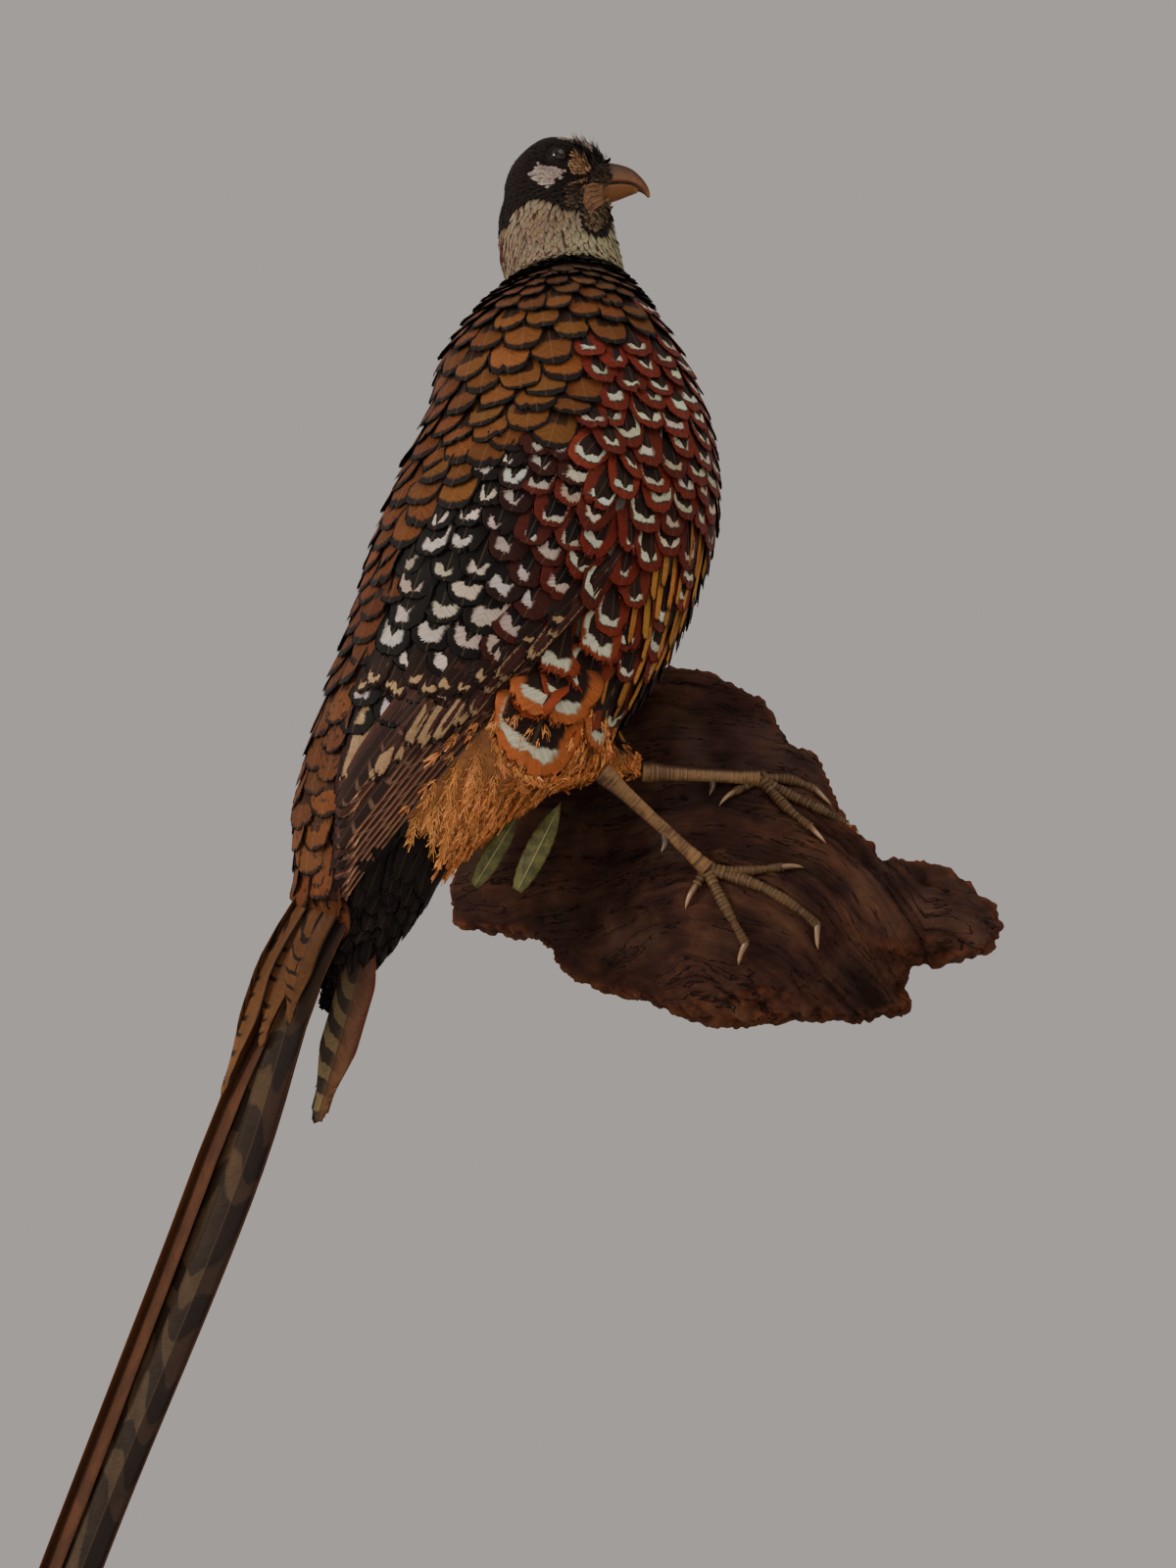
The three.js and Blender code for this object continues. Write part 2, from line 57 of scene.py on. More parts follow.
def toWorld(points):
    return birdPlace + (np.asarray(points, float) / 1000) @ birdAxes


def turnToWorld(vectors):
    return np.asarray(vectors, float) @ birdAxes


def unit(vectors):
    return vectors / np.maximum(np.linalg.norm(vectors, axis=-1, keepdims=True), 1e-9)


def smoothStep(low, high, value):
    t = np.clip((np.asarray(value, float) - low) / (high - low), 0, 1)
    return t * t * (3 - 2 * t)


def linear(red, green, blue):
    # screen colour 0-255 to the linear colour that shaders read
    value = np.array([red, green, blue]) / 255
    return np.where(value < 0.04045, value / 12.92, ((value + 0.055) / 1.055) ** 2.4)


def applyModifier(thing, kind, **settings):
    bpy.ops.object.select_all(action="DESELECT")
    thing.select_set(True)
    bpy.context.view_layer.objects.active = thing
    modifier = thing.modifiers.new(kind.lower(), kind)
    for key, value in settings.items():
        setattr(modifier, key, value)
    bpy.ops.object.modifier_apply(modifier=modifier.name)


def mergedCopy(nodeNames, name):
    # copies of CAD nodes in one object, their loose triangles merged
    mesh = bmesh.new()
    for nodeName in nodeNames:
        mesh.from_mesh(nodes[nodeName].data)
    bmesh.ops.remove_doubles(mesh, verts=mesh.verts, dist=1e-5)
    data = bpy.data.meshes.new(name)
    mesh.to_mesh(data)
    mesh.free()
    data.materials.clear()
    thing = bpy.data.objects.new(name, data)
    bpy.context.scene.collection.objects.link(thing)
    return thing


def vertexPlaces(thing, kind="co"):
    places = np.empty(len(thing.data.vertices) * 3)
    thing.data.vertices.foreach_get(kind, places)
    return places.reshape(-1, 3)


def vertexNormals(thing):
    return vertexPlaces(thing, "normal")


def setPlaces(thing, places):
    thing.data.vertices.foreach_set("co", np.ascontiguousarray(places, dtype=np.float32).ravel())
    thing.data.update()


def shadeSmooth(thing):
    thing.data.polygons.foreach_set("use_smooth", np.full(len(thing.data.polygons), True))


def finishPiece(thing, material, slot, *replaced):
    thing.data.materials.append(material)
    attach(thing, "root")
    if replaced:
        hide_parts(*replaced)


def meshFrom(name, places, faces):
    # faces is a list of arrays, one for each number of corners
    data = bpy.data.meshes.new(name)
    corners = np.concatenate([np.asarray(part).ravel() for part in faces]).astype(np.int32)
    counts = np.concatenate([np.full(len(part), np.shape(part)[1]) for part in faces])
    data.vertices.add(len(places))
    data.vertices.foreach_set("co", np.ascontiguousarray(places, dtype=np.float32).ravel())
    data.loops.add(len(corners))
    data.loops.foreach_set("vertex_index", corners)
    data.polygons.add(len(counts))
    starts = np.concatenate([[0], np.cumsum(counts)[:-1]]).astype(np.int32)
    data.polygons.foreach_set("loop_start", starts)
    data.update(calc_edges=True)
    data.validate()
    thing = bpy.data.objects.new(name, data)
    bpy.context.scene.collection.objects.link(thing)
    shadeSmooth(thing)
    return thing


noTriangles = np.zeros((0, 3), int)


def gridFaces(grid):
    # the four-cornered faces of a grid of vertex numbers
    return np.stack([grid[:-1, :-1], grid[:-1, 1:], grid[1:, 1:], grid[1:, :-1]], -1).reshape(-1, 4)


def ringGrid(count, size):
    # vertex numbers of rings, each ring closed on its first vertex
    grid = np.arange(count * size).reshape(count, size)
    return np.concatenate([grid, grid[:, :1]], 1)


def distanceAlong(path):
    return np.concatenate([[0], np.cumsum(np.linalg.norm(np.diff(path, axis=0), axis=1))])


def cornerIndices(thing):
    corners = np.empty(len(thing.data.loops), np.int32)
    thing.data.loops.foreach_get("vertex_index", corners)
    return corners


def addMap(thing, name, perVertex):
    layer = thing.data.uv_layers.new(name=name, do_init=False)
    values = np.asarray(perVertex, np.float32)[cornerIndices(thing)]
    layer.uv.foreach_set("vector", np.ascontiguousarray(values).ravel())


def addTint(thing, name, perVertex):
    layer = thing.data.attributes.new(name, "FLOAT_COLOR", "POINT")
    rgba = np.concatenate([perVertex, np.ones((len(perVertex), 1))], 1)
    layer.data.foreach_set("color", rgba.astype(np.float32).ravel())


def addVector(thing, name, perVertex):
    layer = thing.data.attributes.new(name, "FLOAT_VECTOR", "POINT")
    layer.data.foreach_set("vector", np.asarray(perVertex, np.float32).ravel())


class Surface:
    # a closed form that feathers are laid on, with smooth normals
    def __init__(self, thing):
        self.places = vertexPlaces(thing)
        self.normals = vertexNormals(thing)
        self.faces = [tuple(p.vertices) for p in thing.data.polygons]
        self.tree = BVHTree.FromPolygons([Vector(p) for p in self.places], self.faces)
        self.faceNormals = [
            Vector(unit(self.normals[list(face)].mean(0))) for face in self.faces
        ]

    def nearest(self, place):
        hit, _, index, _ = self.tree.find_nearest(place)
        return hit, self.faceNormals[index]

    def cast(self, start, way):
        hit, _, index, _ = self.tree.ray_cast(Vector(start), Vector(way))
        return (hit, self.faceNormals[index]) if hit else (None, None)

    def fromSide(self, forwardMm, dorsalMm, side):
        # the outermost point seen from the bird's left (side 1) or right (-1)
        return self.cast(toWorld([forwardMm, side * 300, dorsalMm]), -side * leftAxis)

    def fromAngle(self, forwardMm, angle, side):
        # seen from outside at an angle round the long axis, 0 at the back and 180 at the belly
        turn = math.radians(angle)
        away = turnToWorld([0, side * math.sin(turn), math.cos(turn)])
        return self.cast(toWorld([forwardMm, 0, 0]) + away * 0.3, -away)

    def fromAbove(self, forwardMm, leftMm):
        return self.cast(toWorld([forwardMm, leftMm, 400]), -dorsalAxis)


viewing = {"place": (0.0051, -0.9086, -0.3214), "rise": 25.0, "roll": 46.8, "lens": 37.125}


def addCamera():
    rise, roll = math.radians(viewing["rise"]), math.radians(viewing["roll"])
    ahead = Vector((0, math.cos(rise), math.sin(rise)))
    level = Vector((1, 0, 0))
    above = Vector((0, -math.sin(rise), math.cos(rise)))
    right = level * math.cos(roll) - above * math.sin(roll)
    top = level * math.sin(roll) + above * math.cos(roll)
    data = bpy.data.cameras.new("camera")
    data.lens = viewing["lens"]
    data.sensor_width = 36
    data.clip_start, data.clip_end = 0.02, 60
    camera = bpy.data.objects.new("camera", data)
    turn = Matrix((right, top, -ahead)).transposed().to_4x4()
    camera.matrix_world = Matrix.Translation(Vector(viewing["place"])) @ turn
    bpy.context.scene.collection.objects.link(camera)
    bpy.context.scene.camera = camera


lights = {
    "key": {"place": (-0.9, -1.7, 1.3), "size": 1.0, "power": 42, "tint": (1.0, 0.94, 0.84)},
    "fill": {"place": (1.7, -1.4, 0.1), "size": 1.8, "power": 18, "tint": (1.0, 0.96, 0.9)},
    "under": {"place": (-0.3, -1.6, -0.9), "size": 2.0, "power": 8, "tint": (1.0, 0.97, 0.95)},
}
studio = {"aim": (0, -0.1, 0.1), "worldTint": (0.84, 0.78, 0.73), "worldStrength": 0.5,
          "floorSize": 9, "floorHeight": -1.35, "floorTint": (0.62, 0.61, 0.6)}


def addLights():
    for name, setting in lights.items():
        data = bpy.data.lights.new(name, "AREA")
        data.energy, data.size, data.color = setting["power"], setting["size"], setting["tint"]
        lamp = bpy.data.objects.new(name, data)
        lamp.location = setting["place"]
        aim = Vector(studio["aim"]) - lamp.location
        lamp.rotation_euler = aim.to_track_quat("-Z", "Y").to_euler()
        bpy.context.scene.collection.objects.link(lamp)
    world = bpy.data.worlds.new("studio")
    world.use_nodes = True
    shade = world.node_tree.nodes["Background"]
    shade.inputs["Color"].default_value = (*studio["worldTint"], 1)
    shade.inputs["Strength"].default_value = studio["worldStrength"]
    bpy.context.scene.world = world


def addFloor():
    bpy.ops.object.select_all(action="DESELECT")
    bpy.ops.mesh.primitive_plane_add(size=studio["floorSize"], location=(0, 0, studio["floorHeight"]))
    floor = bpy.context.active_object
    floor.name = "floor"
    floor.data.transform(floor.matrix_world)
    floor.matrix_world = Matrix.Identity(4)
    mat = bpy.data.materials.new("floor")
    mat.use_nodes = True
    shader = mat.node_tree.nodes["Principled BSDF"]
    shader.inputs["Base Color"].default_value = (*studio["floorTint"], 1)
    shader.inputs["Roughness"].default_value = 0.8
    floor.data.materials.append(mat)


addCamera()
addLights()
addFloor()
print("camera, lights and floor set")


class Nodes:
    # a short way to write node trees: every call adds one node and returns its output
    def __init__(self, name, roughness=0.6, **sockets):
        self.mat = bpy.data.materials.new(name)
        self.mat.use_nodes = True
        self.tree = self.mat.node_tree
        self.shader = self.tree.nodes["Principled BSDF"]
        self.shader.inputs["Roughness"].default_value = roughness
        for key, value in sockets.items():
            self.shader.inputs[key.replace("_", " ")].default_value = value

    def put(self, socket, value):
        if isinstance(value, bpy.types.NodeSocket):
            self.tree.links.new(value, socket)
        elif hasattr(value, "__len__") and len(value) == 3 and len(socket.default_value) == 4:
            socket.default_value = (*value, 1)
        else:
            socket.default_value = value

    def math(self, operation, *values):
        node = self.tree.nodes.new("ShaderNodeMath")
        node.operation = operation
        for socket, value in zip(node.inputs, values):
            self.put(socket, value)
        return node.outputs[0]

    def times(self, first, second):
        return self.math("MULTIPLY", first, second)

    def plus(self, first, second):
        return self.math("ADD", first, second)

    def minus(self, first, second):
        return self.math("SUBTRACT", first, second)

    def divide(self, first, second):
        return self.math("DIVIDE", first, second)

    def timesPlus(self, value, factor, added):
        return self.math("MULTIPLY_ADD", value, factor, added)

    def absolute(self, value):
        return self.math("ABSOLUTE", value)

    def split(self, vector):
        node = self.tree.nodes.new("ShaderNodeSeparateXYZ")
        self.put(node.inputs[0], vector)
        return node.outputs

    def join(self, x, y, z):
        node = self.tree.nodes.new("ShaderNodeCombineXYZ")
        for socket, value in zip(node.inputs, (x, y, z)):
            self.put(socket, value)
        return node.outputs[0]

    def ramp(self, value, low, high, toLow=0.0, toHigh=1.0):
        node = self.tree.nodes.new("ShaderNodeMapRange")
        node.interpolation_type = "SMOOTHSTEP"
        for socket, v in zip(node.inputs, (value, low, high, toLow, toHigh)):
            self.put(socket, v)
        return node.outputs[0]

    def fall(self, value, low, high):
        return self.ramp(value, low, high, 1.0, 0.0)

    def mix(self, factor, first, second, way="MIX"):
        node = self.tree.nodes.new("ShaderNodeMix")
        node.data_type = "RGBA"
        node.blend_type = way
        self.put(node.inputs[0], factor)
        self.put(node.inputs[6], first)
        self.put(node.inputs[7], second)
        return node.outputs[2]

    def darken(self, colour, shade):
        # multiplies a colour by a grey level
        return self.mix(1.0, colour, self.join(shade, shade, shade), "MULTIPLY")

    def lay(self, colour, tint, amount, strength):
        return self.mix(self.times(amount, strength), colour, tint)

    def noise(self, vector, scale, detail=2.0, rough=0.5):
        node = self.tree.nodes.new("ShaderNodeTexNoise")
        self.put(node.inputs["Vector"], vector)
        node.inputs["Scale"].default_value = scale
        node.inputs["Detail"].default_value = detail
        node.inputs["Roughness"].default_value = rough
        return node.outputs["Fac"]

    def attribute(self, name):
        node = self.tree.nodes.new("ShaderNodeAttribute")
        node.attribute_name = name
        return node.outputs

    def vector(self, name):
        return self.split(self.attribute(name)["Vector"])

    def tint(self, name):
        return self.attribute(name)["Color"]

    def map(self, name):
        node = self.tree.nodes.new("ShaderNodeUVMap")
        node.uv_map = name
        return node.outputs[0]

    def place(self):
        return self.tree.nodes.new("ShaderNodeTexCoord").outputs["Object"]

    def bump(self, height, strength, distance):
        node = self.tree.nodes.new("ShaderNodeBump")
        node.inputs["Strength"].default_value = strength
        node.inputs["Distance"].default_value = distance
        self.put(node.inputs["Height"], height)
        self.tree.links.new(node.outputs[0], self.shader.inputs["Normal"])

    def finish(self, colour, roughness=None):
        self.put(self.shader.inputs["Base Color"], colour)
        if roughness is not None:
            self.put(self.shader.inputs["Roughness"], roughness)
        return self.mat


def vaneInputs(n):
    # v along the vane, the feather's own numbers, and the place across it with and without its sign
    u, v, _ = n.split(n.map("vane"))
    size, bands, cut = (n.vector(name) for name in ("featherSize", "featherBands", "featherCut"))
    signed = n.timesPlus(u, 2, -1)
    return v, size, bands, cut, signed, n.absolute(signed)


# lengths in mm; feathers with a half width past "widest" have their marks nearer the middle
plumageLook = {"sideScale": 2.4, "corner": 2.5, "barbSlant": 0.9, "barbPitch": 0.75, "widest": 10.5,
               "darkLine": (0.012, 0.007, 0.005), "shaft": (0.25, 0.17, 0.1)}


def plumageMaterial():
    # every small feather: a fringe, a band and a base counted in mm from the tip's outline
    n = Nodes("plumage", 0.62, Sheen_Weight=0.03, Specular_IOR_Level=0.12)
    v, size, bands, cut, signed, across = vaneInputs(n)
    fromTip = n.times(n.minus(1, v), size[0])
    fromSide = n.times(n.minus(1, across), n.times(size[1], plumageLook["sideScale"]))
    edge = n.math("SMOOTH_MIN", fromTip, fromSide, plumageLook["corner"])
    outward = n.times(across, size[1])
    barb = n.minus(n.times(v, size[0]), n.times(outward, plumageLook["barbSlant"]))
    hand = n.times(n.math("SIGN", signed), 7.3)
    seed = n.times(size[2], 91)
    barbPlace = n.join(n.times(barb, 1.3), hand, seed)
    jag = n.minus(n.noise(barbPlace, 1.0, 3.0, 0.7), 0.5)
    wobble = n.noise(n.join(n.times(signed, 1.4), n.times(v, 2.2), seed), 1.0)
    shift = n.plus(n.times(jag, cut[1]), n.times(n.minus(wobble, 0.5), cut[1]))
    depth = n.plus(edge, shift)
    wedge = n.times(n.fall(across, 0.0, 0.34), n.math("MAXIMUM", cut[0], 0))
    inner = n.minus(bands[1], wedge)
    offset = n.timesPlus(n.math("FRACT", n.times(size[2], 7.13)), 0.5, -0.25)
    drift = n.plus(n.timesPlus(wobble, 0.9, -0.45), offset)
    drift = n.times(drift, n.math("MINIMUM", n.divide(plumageLook["widest"], size[1]), 1))
    aside = n.plus(n.absolute(n.plus(signed, drift)), n.times(jag, 0.3))
    reach = n.fall(n.minus(aside, cut[2]), -0.09, 0.09)
    soft = n.timesPlus(n.absolute(bands[2]), 0.5, 0.12)
    past = n.ramp(n.divide(n.minus(depth, bands[0]), soft), -0.5, 0.5)
    past = n.times(past, reach)
    within = n.ramp(n.divide(n.minus(inner, depth), soft), -0.5, 0.5)
    fromLine = n.divide(n.absolute(n.minus(depth, bands[0])), n.math("MAXIMUM", bands[2], 0.01))
    colour = n.mix(past, n.tint("fringeTint"), n.tint("baseTint"))
    colour = n.mix(n.times(past, within), colour, n.tint("bandTint"))
    # round dark spots where the wedge is negative
    spots = n.noise(n.join(n.times(outward, 0.3), n.times(v, n.times(size[0], 0.22)), seed), 1.0, 1.0)
    spots = n.times(n.ramp(spots, 0.6, 0.66), n.times(n.math("MINIMUM", cut[0], 0), -0.8))
    colour = n.mix(spots, colour, n.tint("fringeTint"))
    dark = n.times(n.fall(fromLine, 0.4, 1.0), n.math("GREATER_THAN", bands[2], 0.02))
    dark = n.times(dark, reach)
    colour = n.lay(colour, plumageLook["darkLine"], dark, 0.85)
    streak = n.noise(n.join(n.times(barb, 2.6), n.times(across, 1.5), seed), 1.0, 3.0, 0.65)
    shade = n.ramp(streak, 0.25, 0.75, 0.6, 1.3)
    # painted shade: each feather darkens towards its root, where the feathers laid over it would shade it
    coveredShade = n.ramp(n.divide(fromTip, size[0]), 0.3, 0.8, 1.0, 0.6)
    colour = n.darken(colour, n.times(shade, coveredShade))
    shaft = n.fall(across, 0.012, 0.05)
    colour = n.lay(colour, plumageLook["shaft"], shaft, 0.15)
    ridge = n.math("SINE", n.times(barb, 2 * math.pi / plumageLook["barbPitch"]))
    n.bump(n.plus(n.times(ridge, 0.5), n.times(streak, 2.0)), 0.35, 0.0003)
    return n.finish(colour, n.ramp(streak, 0.2, 0.8, 0.72, 0.5))


plumage = plumageMaterial()
print("plumage material made")

# the form under the feathers is made of these; the skin lies below it by the depth of the coat, in mm
fleshNodes = ["trunk", "rump", "neck", "head", "wing_right", "wing_left",
              "thigh_right", "thigh_left", "undertail"]
skinPlan = {"voxel": 0.0024, "smoothing": 8, "headDepth": 0.9, "neckDepth": 4.0, "bodyDepth": 5.0}
eye = {"forward": 212.5, "dorsal": 73.0, "spread": 13.4, "radius": 5.6}


def makeForm():
    form = mergedCopy(fleshNodes, "form")
    applyModifier(form, "REMESH", mode="VOXEL", voxel_size=skinPlan["voxel"])
    applyModifier(form, "SMOOTH", factor=0.5, iterations=skinPlan["smoothing"])
    return form


form = makeForm()
outer = Surface(form)
neckTree = BVHTree.FromPolygons(
    [v.co for v in nodes["neck"].data.vertices],
    [tuple(p.vertices) for p in nodes["neck"].data.polygons])
print("form made:", len(outer.faces), "faces")


def neckGap(worldPlaces):
    return np.array([neckTree.find_nearest(Vector(p))[3] for p in worldPlaces]) * 1000


# the closed wings: upper edge, and lower edge on the right (-1) and left (1), by station along the back
wingStations = [-226, -190, -150, -108, -66, -18, 18, 46, 60]
wingUpper = [34, 50, 60, 66, 69, 69, 62, 46, 26]
wingLower = {
    -1: [21, 13, 1, -14, -28, -42, -39, -26, -4],
    1: [21, 11, -4, -28, -58, -92, -101, -86, -58],
}


def wingHeight(f, d, side):
    # 0 at the wing's lower edge and 1 at its upper edge
    low = np.where(side < 0, np.interp(f, wingStations, wingLower[-1]),
                   np.interp(f, wingStations, wingLower[1]))
    high = np.interp(f, wingStations, wingUpper)
    q = (d - low) / np.maximum(high - low, 1)
    return np.where((f > -226) & (f < 60), q, -9)


# plumage colours
black, jet = linear(24, 15, 12), linear(15, 10, 9)
cream, white, ash = linear(160, 130, 96), linear(184, 180, 156), linear(172, 158, 146)
ochre, gold, deepOchre = linear(104, 62, 27), linear(106, 63, 31), linear(60, 33, 18)
maroon, chestnut = linear(100, 33, 19), linear(120, 48, 25)
brown, purple, buff = linear(74, 44, 34), linear(60, 30, 26), linear(228, 150, 88)
straw, umber = linear(158, 104, 46), linear(36, 20, 15)
neckWhite, headDark, peach = linear(146, 132, 110), linear(23, 12, 11), linear(184, 146, 106)
olive, jawBrown, chinCream = linear(66, 52, 36), linear(84, 66, 50), cream * 0.55

# across and row: spacing in mm; bands: depths of fringe and band, and dark line
# cut: wedge of the band, jag of its edge and its reach to the side
plain = {"bands": (0.5, 60, 0), "cut": (0, 1.5, 3)}  # one colour: the band runs past the root
fine = {"bands": (0.1, 60, 0), "cut": (0, 0.2, 3)}  # the same for the short feathers of the face
regions = {
    "breast": dict(across=16, row=9.2, length=31, bands=(4.8, 9.8, 0.8), cut=(3.0, 3.4, 0.5),
                   fringe=maroon, band=white, base=umber, lift=0.45),
    "mantle": dict(across=19.5, row=9.5, length=34, bands=(4.0, 15.5, -3.0), cut=(0, 4.4, 3),
                   fringe=black, band=ochre, base=deepOchre * 0.6, lift=0.5),
    "rump": dict(across=20, row=11, length=42, bands=(2.0, 17, -2.0), cut=(-1, 6.0, 3),
                 fringe=umber, band=gold, base=deepOchre, lift=0.4),
    "coverts": dict(across=20.5, row=11.5, length=38, bands=(4.2, 12.4, 0), cut=(4.0, 6.0, 0.44),
                    fringe=jet, band=ash, base=jet, lift=0.45),
    # the bare strip under the flight feathers: its small feathers are not shown
    "wingBase": dict(across=14, row=9, length=28, bands=(1.2, 3.2, 0), cut=(0, 2.0, 0.4),
                     fringe=purple, band=purple, base=purple, lift=-1.0),
    "flank": dict(across=20, row=11, length=36, bands=(5.4, 10.5, 0.7), cut=(2.6, 3.0, 0.6),
                  fringe=chestnut, band=white, base=umber, lift=0.6),
    "streaks": dict(across=3.4, row=16, length=40, bands=(0.5, 60, -1.5), cut=(0, 1.5, 3),
                    fringe=deepOchre * 0.6, band=straw, base=deepOchre, lift=0.3),
    "belly": dict(across=9, row=8, length=26, bands=(0.6, 60, 0), cut=(0, 1.5, 3),
                  fringe=black, band=umber, base=umber, lift=0.5),
    "collar": dict(across=5.0, row=3.0, length=12, bands=(0.6, 60, -1), cut=(0, 0.6, 3),
                   fringe=jet, band=linear(50, 42, 38), base=black, lift=0.2),
    "thigh": dict(plain, across=6.0, row=4.6, length=22, fringe=buff, band=buff, base=buff * 0.7, lift=1.5),
    "vent": dict(plain, across=8, row=7, length=30, fringe=black, band=black, base=black, lift=0.8),
    "neck": dict(across=2.1, row=2.2, length=9.5, bands=(0.3, 60, 0), cut=(0, 0.5, 3),
                 fringe=neckWhite, band=neckWhite, base=neckWhite, lift=0.12),
    "headBlack": dict(fine, across=2.1, row=1.35, length=5.2, fringe=headDark, band=headDark,
                      base=headDark, lift=0.18),
    "headWhite": dict(fine, across=1.8, row=1.2, length=5.4, fringe=ash, band=ash, base=neckWhite, lift=0.2),
    "lores": dict(fine, across=1.4, row=1.0, length=3.4, fringe=peach, band=peach, base=peach * 0.8,
                  lift=0.4),
    "oliveFace": dict(fine, across=1.8, row=1.2, length=3.6, fringe=olive, band=olive, base=black, lift=0.25),
    "jaw": dict(fine, across=1.9, row=1.3, length=4.4, fringe=jawBrown, band=jawBrown, base=black, lift=0.3),
    "chin": dict(fine, across=1.9, row=1.3, length=4.6, fringe=chinCream, band=chinCream, base=jawBrown,
                 lift=0.4),
    "napeRed": dict(across=4.0, row=2.6, length=11, bands=(0.4, 60, 0), cut=(0, 0.2, 3),
                    fringe=linear(96, 48, 40), band=linear(110, 60, 50), base=brown, lift=0.5),
}
regionNames = list(regions)
regionId = {name: i for i, name in enumerate(regionNames)}
# angles from the back where one kind of plumage gives way to the next, by station along the back
goldEdge = ([-215, -187, -148, -108, -87, -65, -44, -28, -11, 2, 14, 34, 50, 76, 100, 128, 140],
            [42, 42, 41, 37, 38, 40, 42, 46, 53, 64, 68, 80, 87, 83, 78, 94, 84])
covertEdge = ([-132, -118, -102, -84, -70, -56, -34, -19, 0, 20, 41, 46],
              [46, 64, 80, 92, 103, 110, 112, 105, 99, 95, 92, 82])


def table(key):
    return np.array([regions[name][key] for name in regionNames], float)


def bodyRegion(f, l, d, gap, wander):
    # which kind of feather grows at a place; phi is its angle from the back, and wander blurs the borders
    phi = np.degrees(np.arctan2(np.abs(l), d)) + wander * 2.5
    side = np.where(l < 0, -1, 1)
    q = wingHeight(f, d, side)
    region = np.full(len(f), regionId["breast"])

    def lay(name, where):
        region[where] = regionId[name]

    lay("flank", (f < -48 + wander * 8) & (phi > 92))
    lay("belly", (phi > 165) & (f < 30))
    lay("streaks", (phi > 134) & (phi < 168) & (f < 36) & (f > -66) & ((phi + f * 0.05) % 9 < 0.9))
    isGold = phi < np.interp(f, *goldEdge)
    lay("mantle", isGold & (f > -118))
    isBlack = ~isGold & (phi < np.interp(f, *covertEdge)) & (f < 44) & (f > -132)
    lay("wingBase", (q > 0) & (q < 1.02) & (f < -30) & ~isGold & ~isBlack)
    lay("coverts", isBlack)
    lay("rump", (f < -108 + wander * 5) & isGold)
    thighEdge = np.interp(f, [-184, -150], [96, 60])
    lay("thigh", (f < -108) & (phi > thighEdge) & (q < 0.02) & (f > -184))
    lay("vent", (phi > 60) & (q < 0.02) & (f < -150) & (phi <= thighEdge))
    lay("thigh", (f < -84) & (phi > 136))
    lay("vent", (f <= -190) & (phi > 60) & (q < 0.02))
    lay("vent", (f <= -232) & (d < 22))
    collarWidth = 5 + 17 * smoothStep(60, 110, phi) * (f > 90)
    lay("collar", gap < collarWidth + wander * 1.5)
    return region


# outlines of the markings on each side of the head: up out of the back, forward
headMarks = [
    ("headBlack", 0, [(51.5, 206), (51.7, 190), (53.3, 183), (58, 180), (64.6, 181.7), (71, 182),
                      (77.4, 180.6), (81.3, 176), (83.7, 168), (83.4, 160), (110, 158), (110, 240),
                      (40, 240), (41, 226), (42.3, 214)]),
    ("jaw", 0, [(64, 194), (58.5, 181), (53.3, 182), (46, 187), (44, 196), (51, 204), (57, 199)]),
    ("headBlack", 0, [(51, 186), (44, 171), (35, 170), (30, 182), (30, 204), (40, 206), (46, 200)]),
    ("chin", 0, [(50, 190), (47, 180), (42, 174), (37, 173), (33, 182), (33, 201), (40, 205), (46, 196)]),
    ("oliveFace", 0, [(57.6, 219), (52, 227), (43, 226), (41, 214), (52.2, 205.5), (55.5, 213)]),
    ("lores", 6, [(67.3, 218), (68, 209), (63, 204.4), (56, 209.5), (56, 214), (61, 219)]),
    ("lores", 6, [(64, 193.8), (63, 196.4), (55, 208.6), (54, 206.2)]),
    ("headWhite", 8, [(84, 195), (81.4, 202.3), (74.7, 204.4), (66, 206), (67.6, 202.4), (66.5, 200),
                      (70.3, 198.4), (69.5, 194.5), (71.6, 190.5), (77, 191.5)]),
]


def insideOutline(x, y, outline):
    inside = np.zeros(len(x), bool)
    corners = np.array(outline, float)
    for (x0, y0), (x1, y1) in zip(corners, np.roll(corners, -1, axis=0)):
        crosses = (y0 > y) != (y1 > y)
        slope = (x1 - x0) / (y1 - y0 if y1 != y0 else 1e-9)
        inside ^= crosses & (x < x0 + slope * (y - y0))
    return inside


def headRegion(f, l, d):
    region = np.full(len(f), regionId["neck"])
    for name, fromMiddle, outline in headMarks:
        region[insideOutline(d, f, outline) & (np.abs(l) >= fromMiddle)] = regionId[name]
    crown = (f > 224.8) & (d > 58) & (d < 84) & (np.sin(l * 1.9 + d * 1.1) > -0.4)
    region[crown] = regionId["headWhite"]
    region[(d > 77) & (f < 157) & (f > 146) & (l > -7)] = regionId["napeRed"]
    return region


# the bare corner of the mouth, in the same two directions
gapeOutline = [(52.4, 205.5), (48, 208.8), (43.9, 211.5), (41.5, 214.5), (40, 206), (38.6, 200),
               (41, 193), (45, 187), (49, 189), (51.5, 197)]


# the feathers point away from these places, and the packing starts from them
bodySource, faceSource, billTip = np.array([[215.0, 0, 105], [224.0, 0, 30], [226.0, 0, 17]])


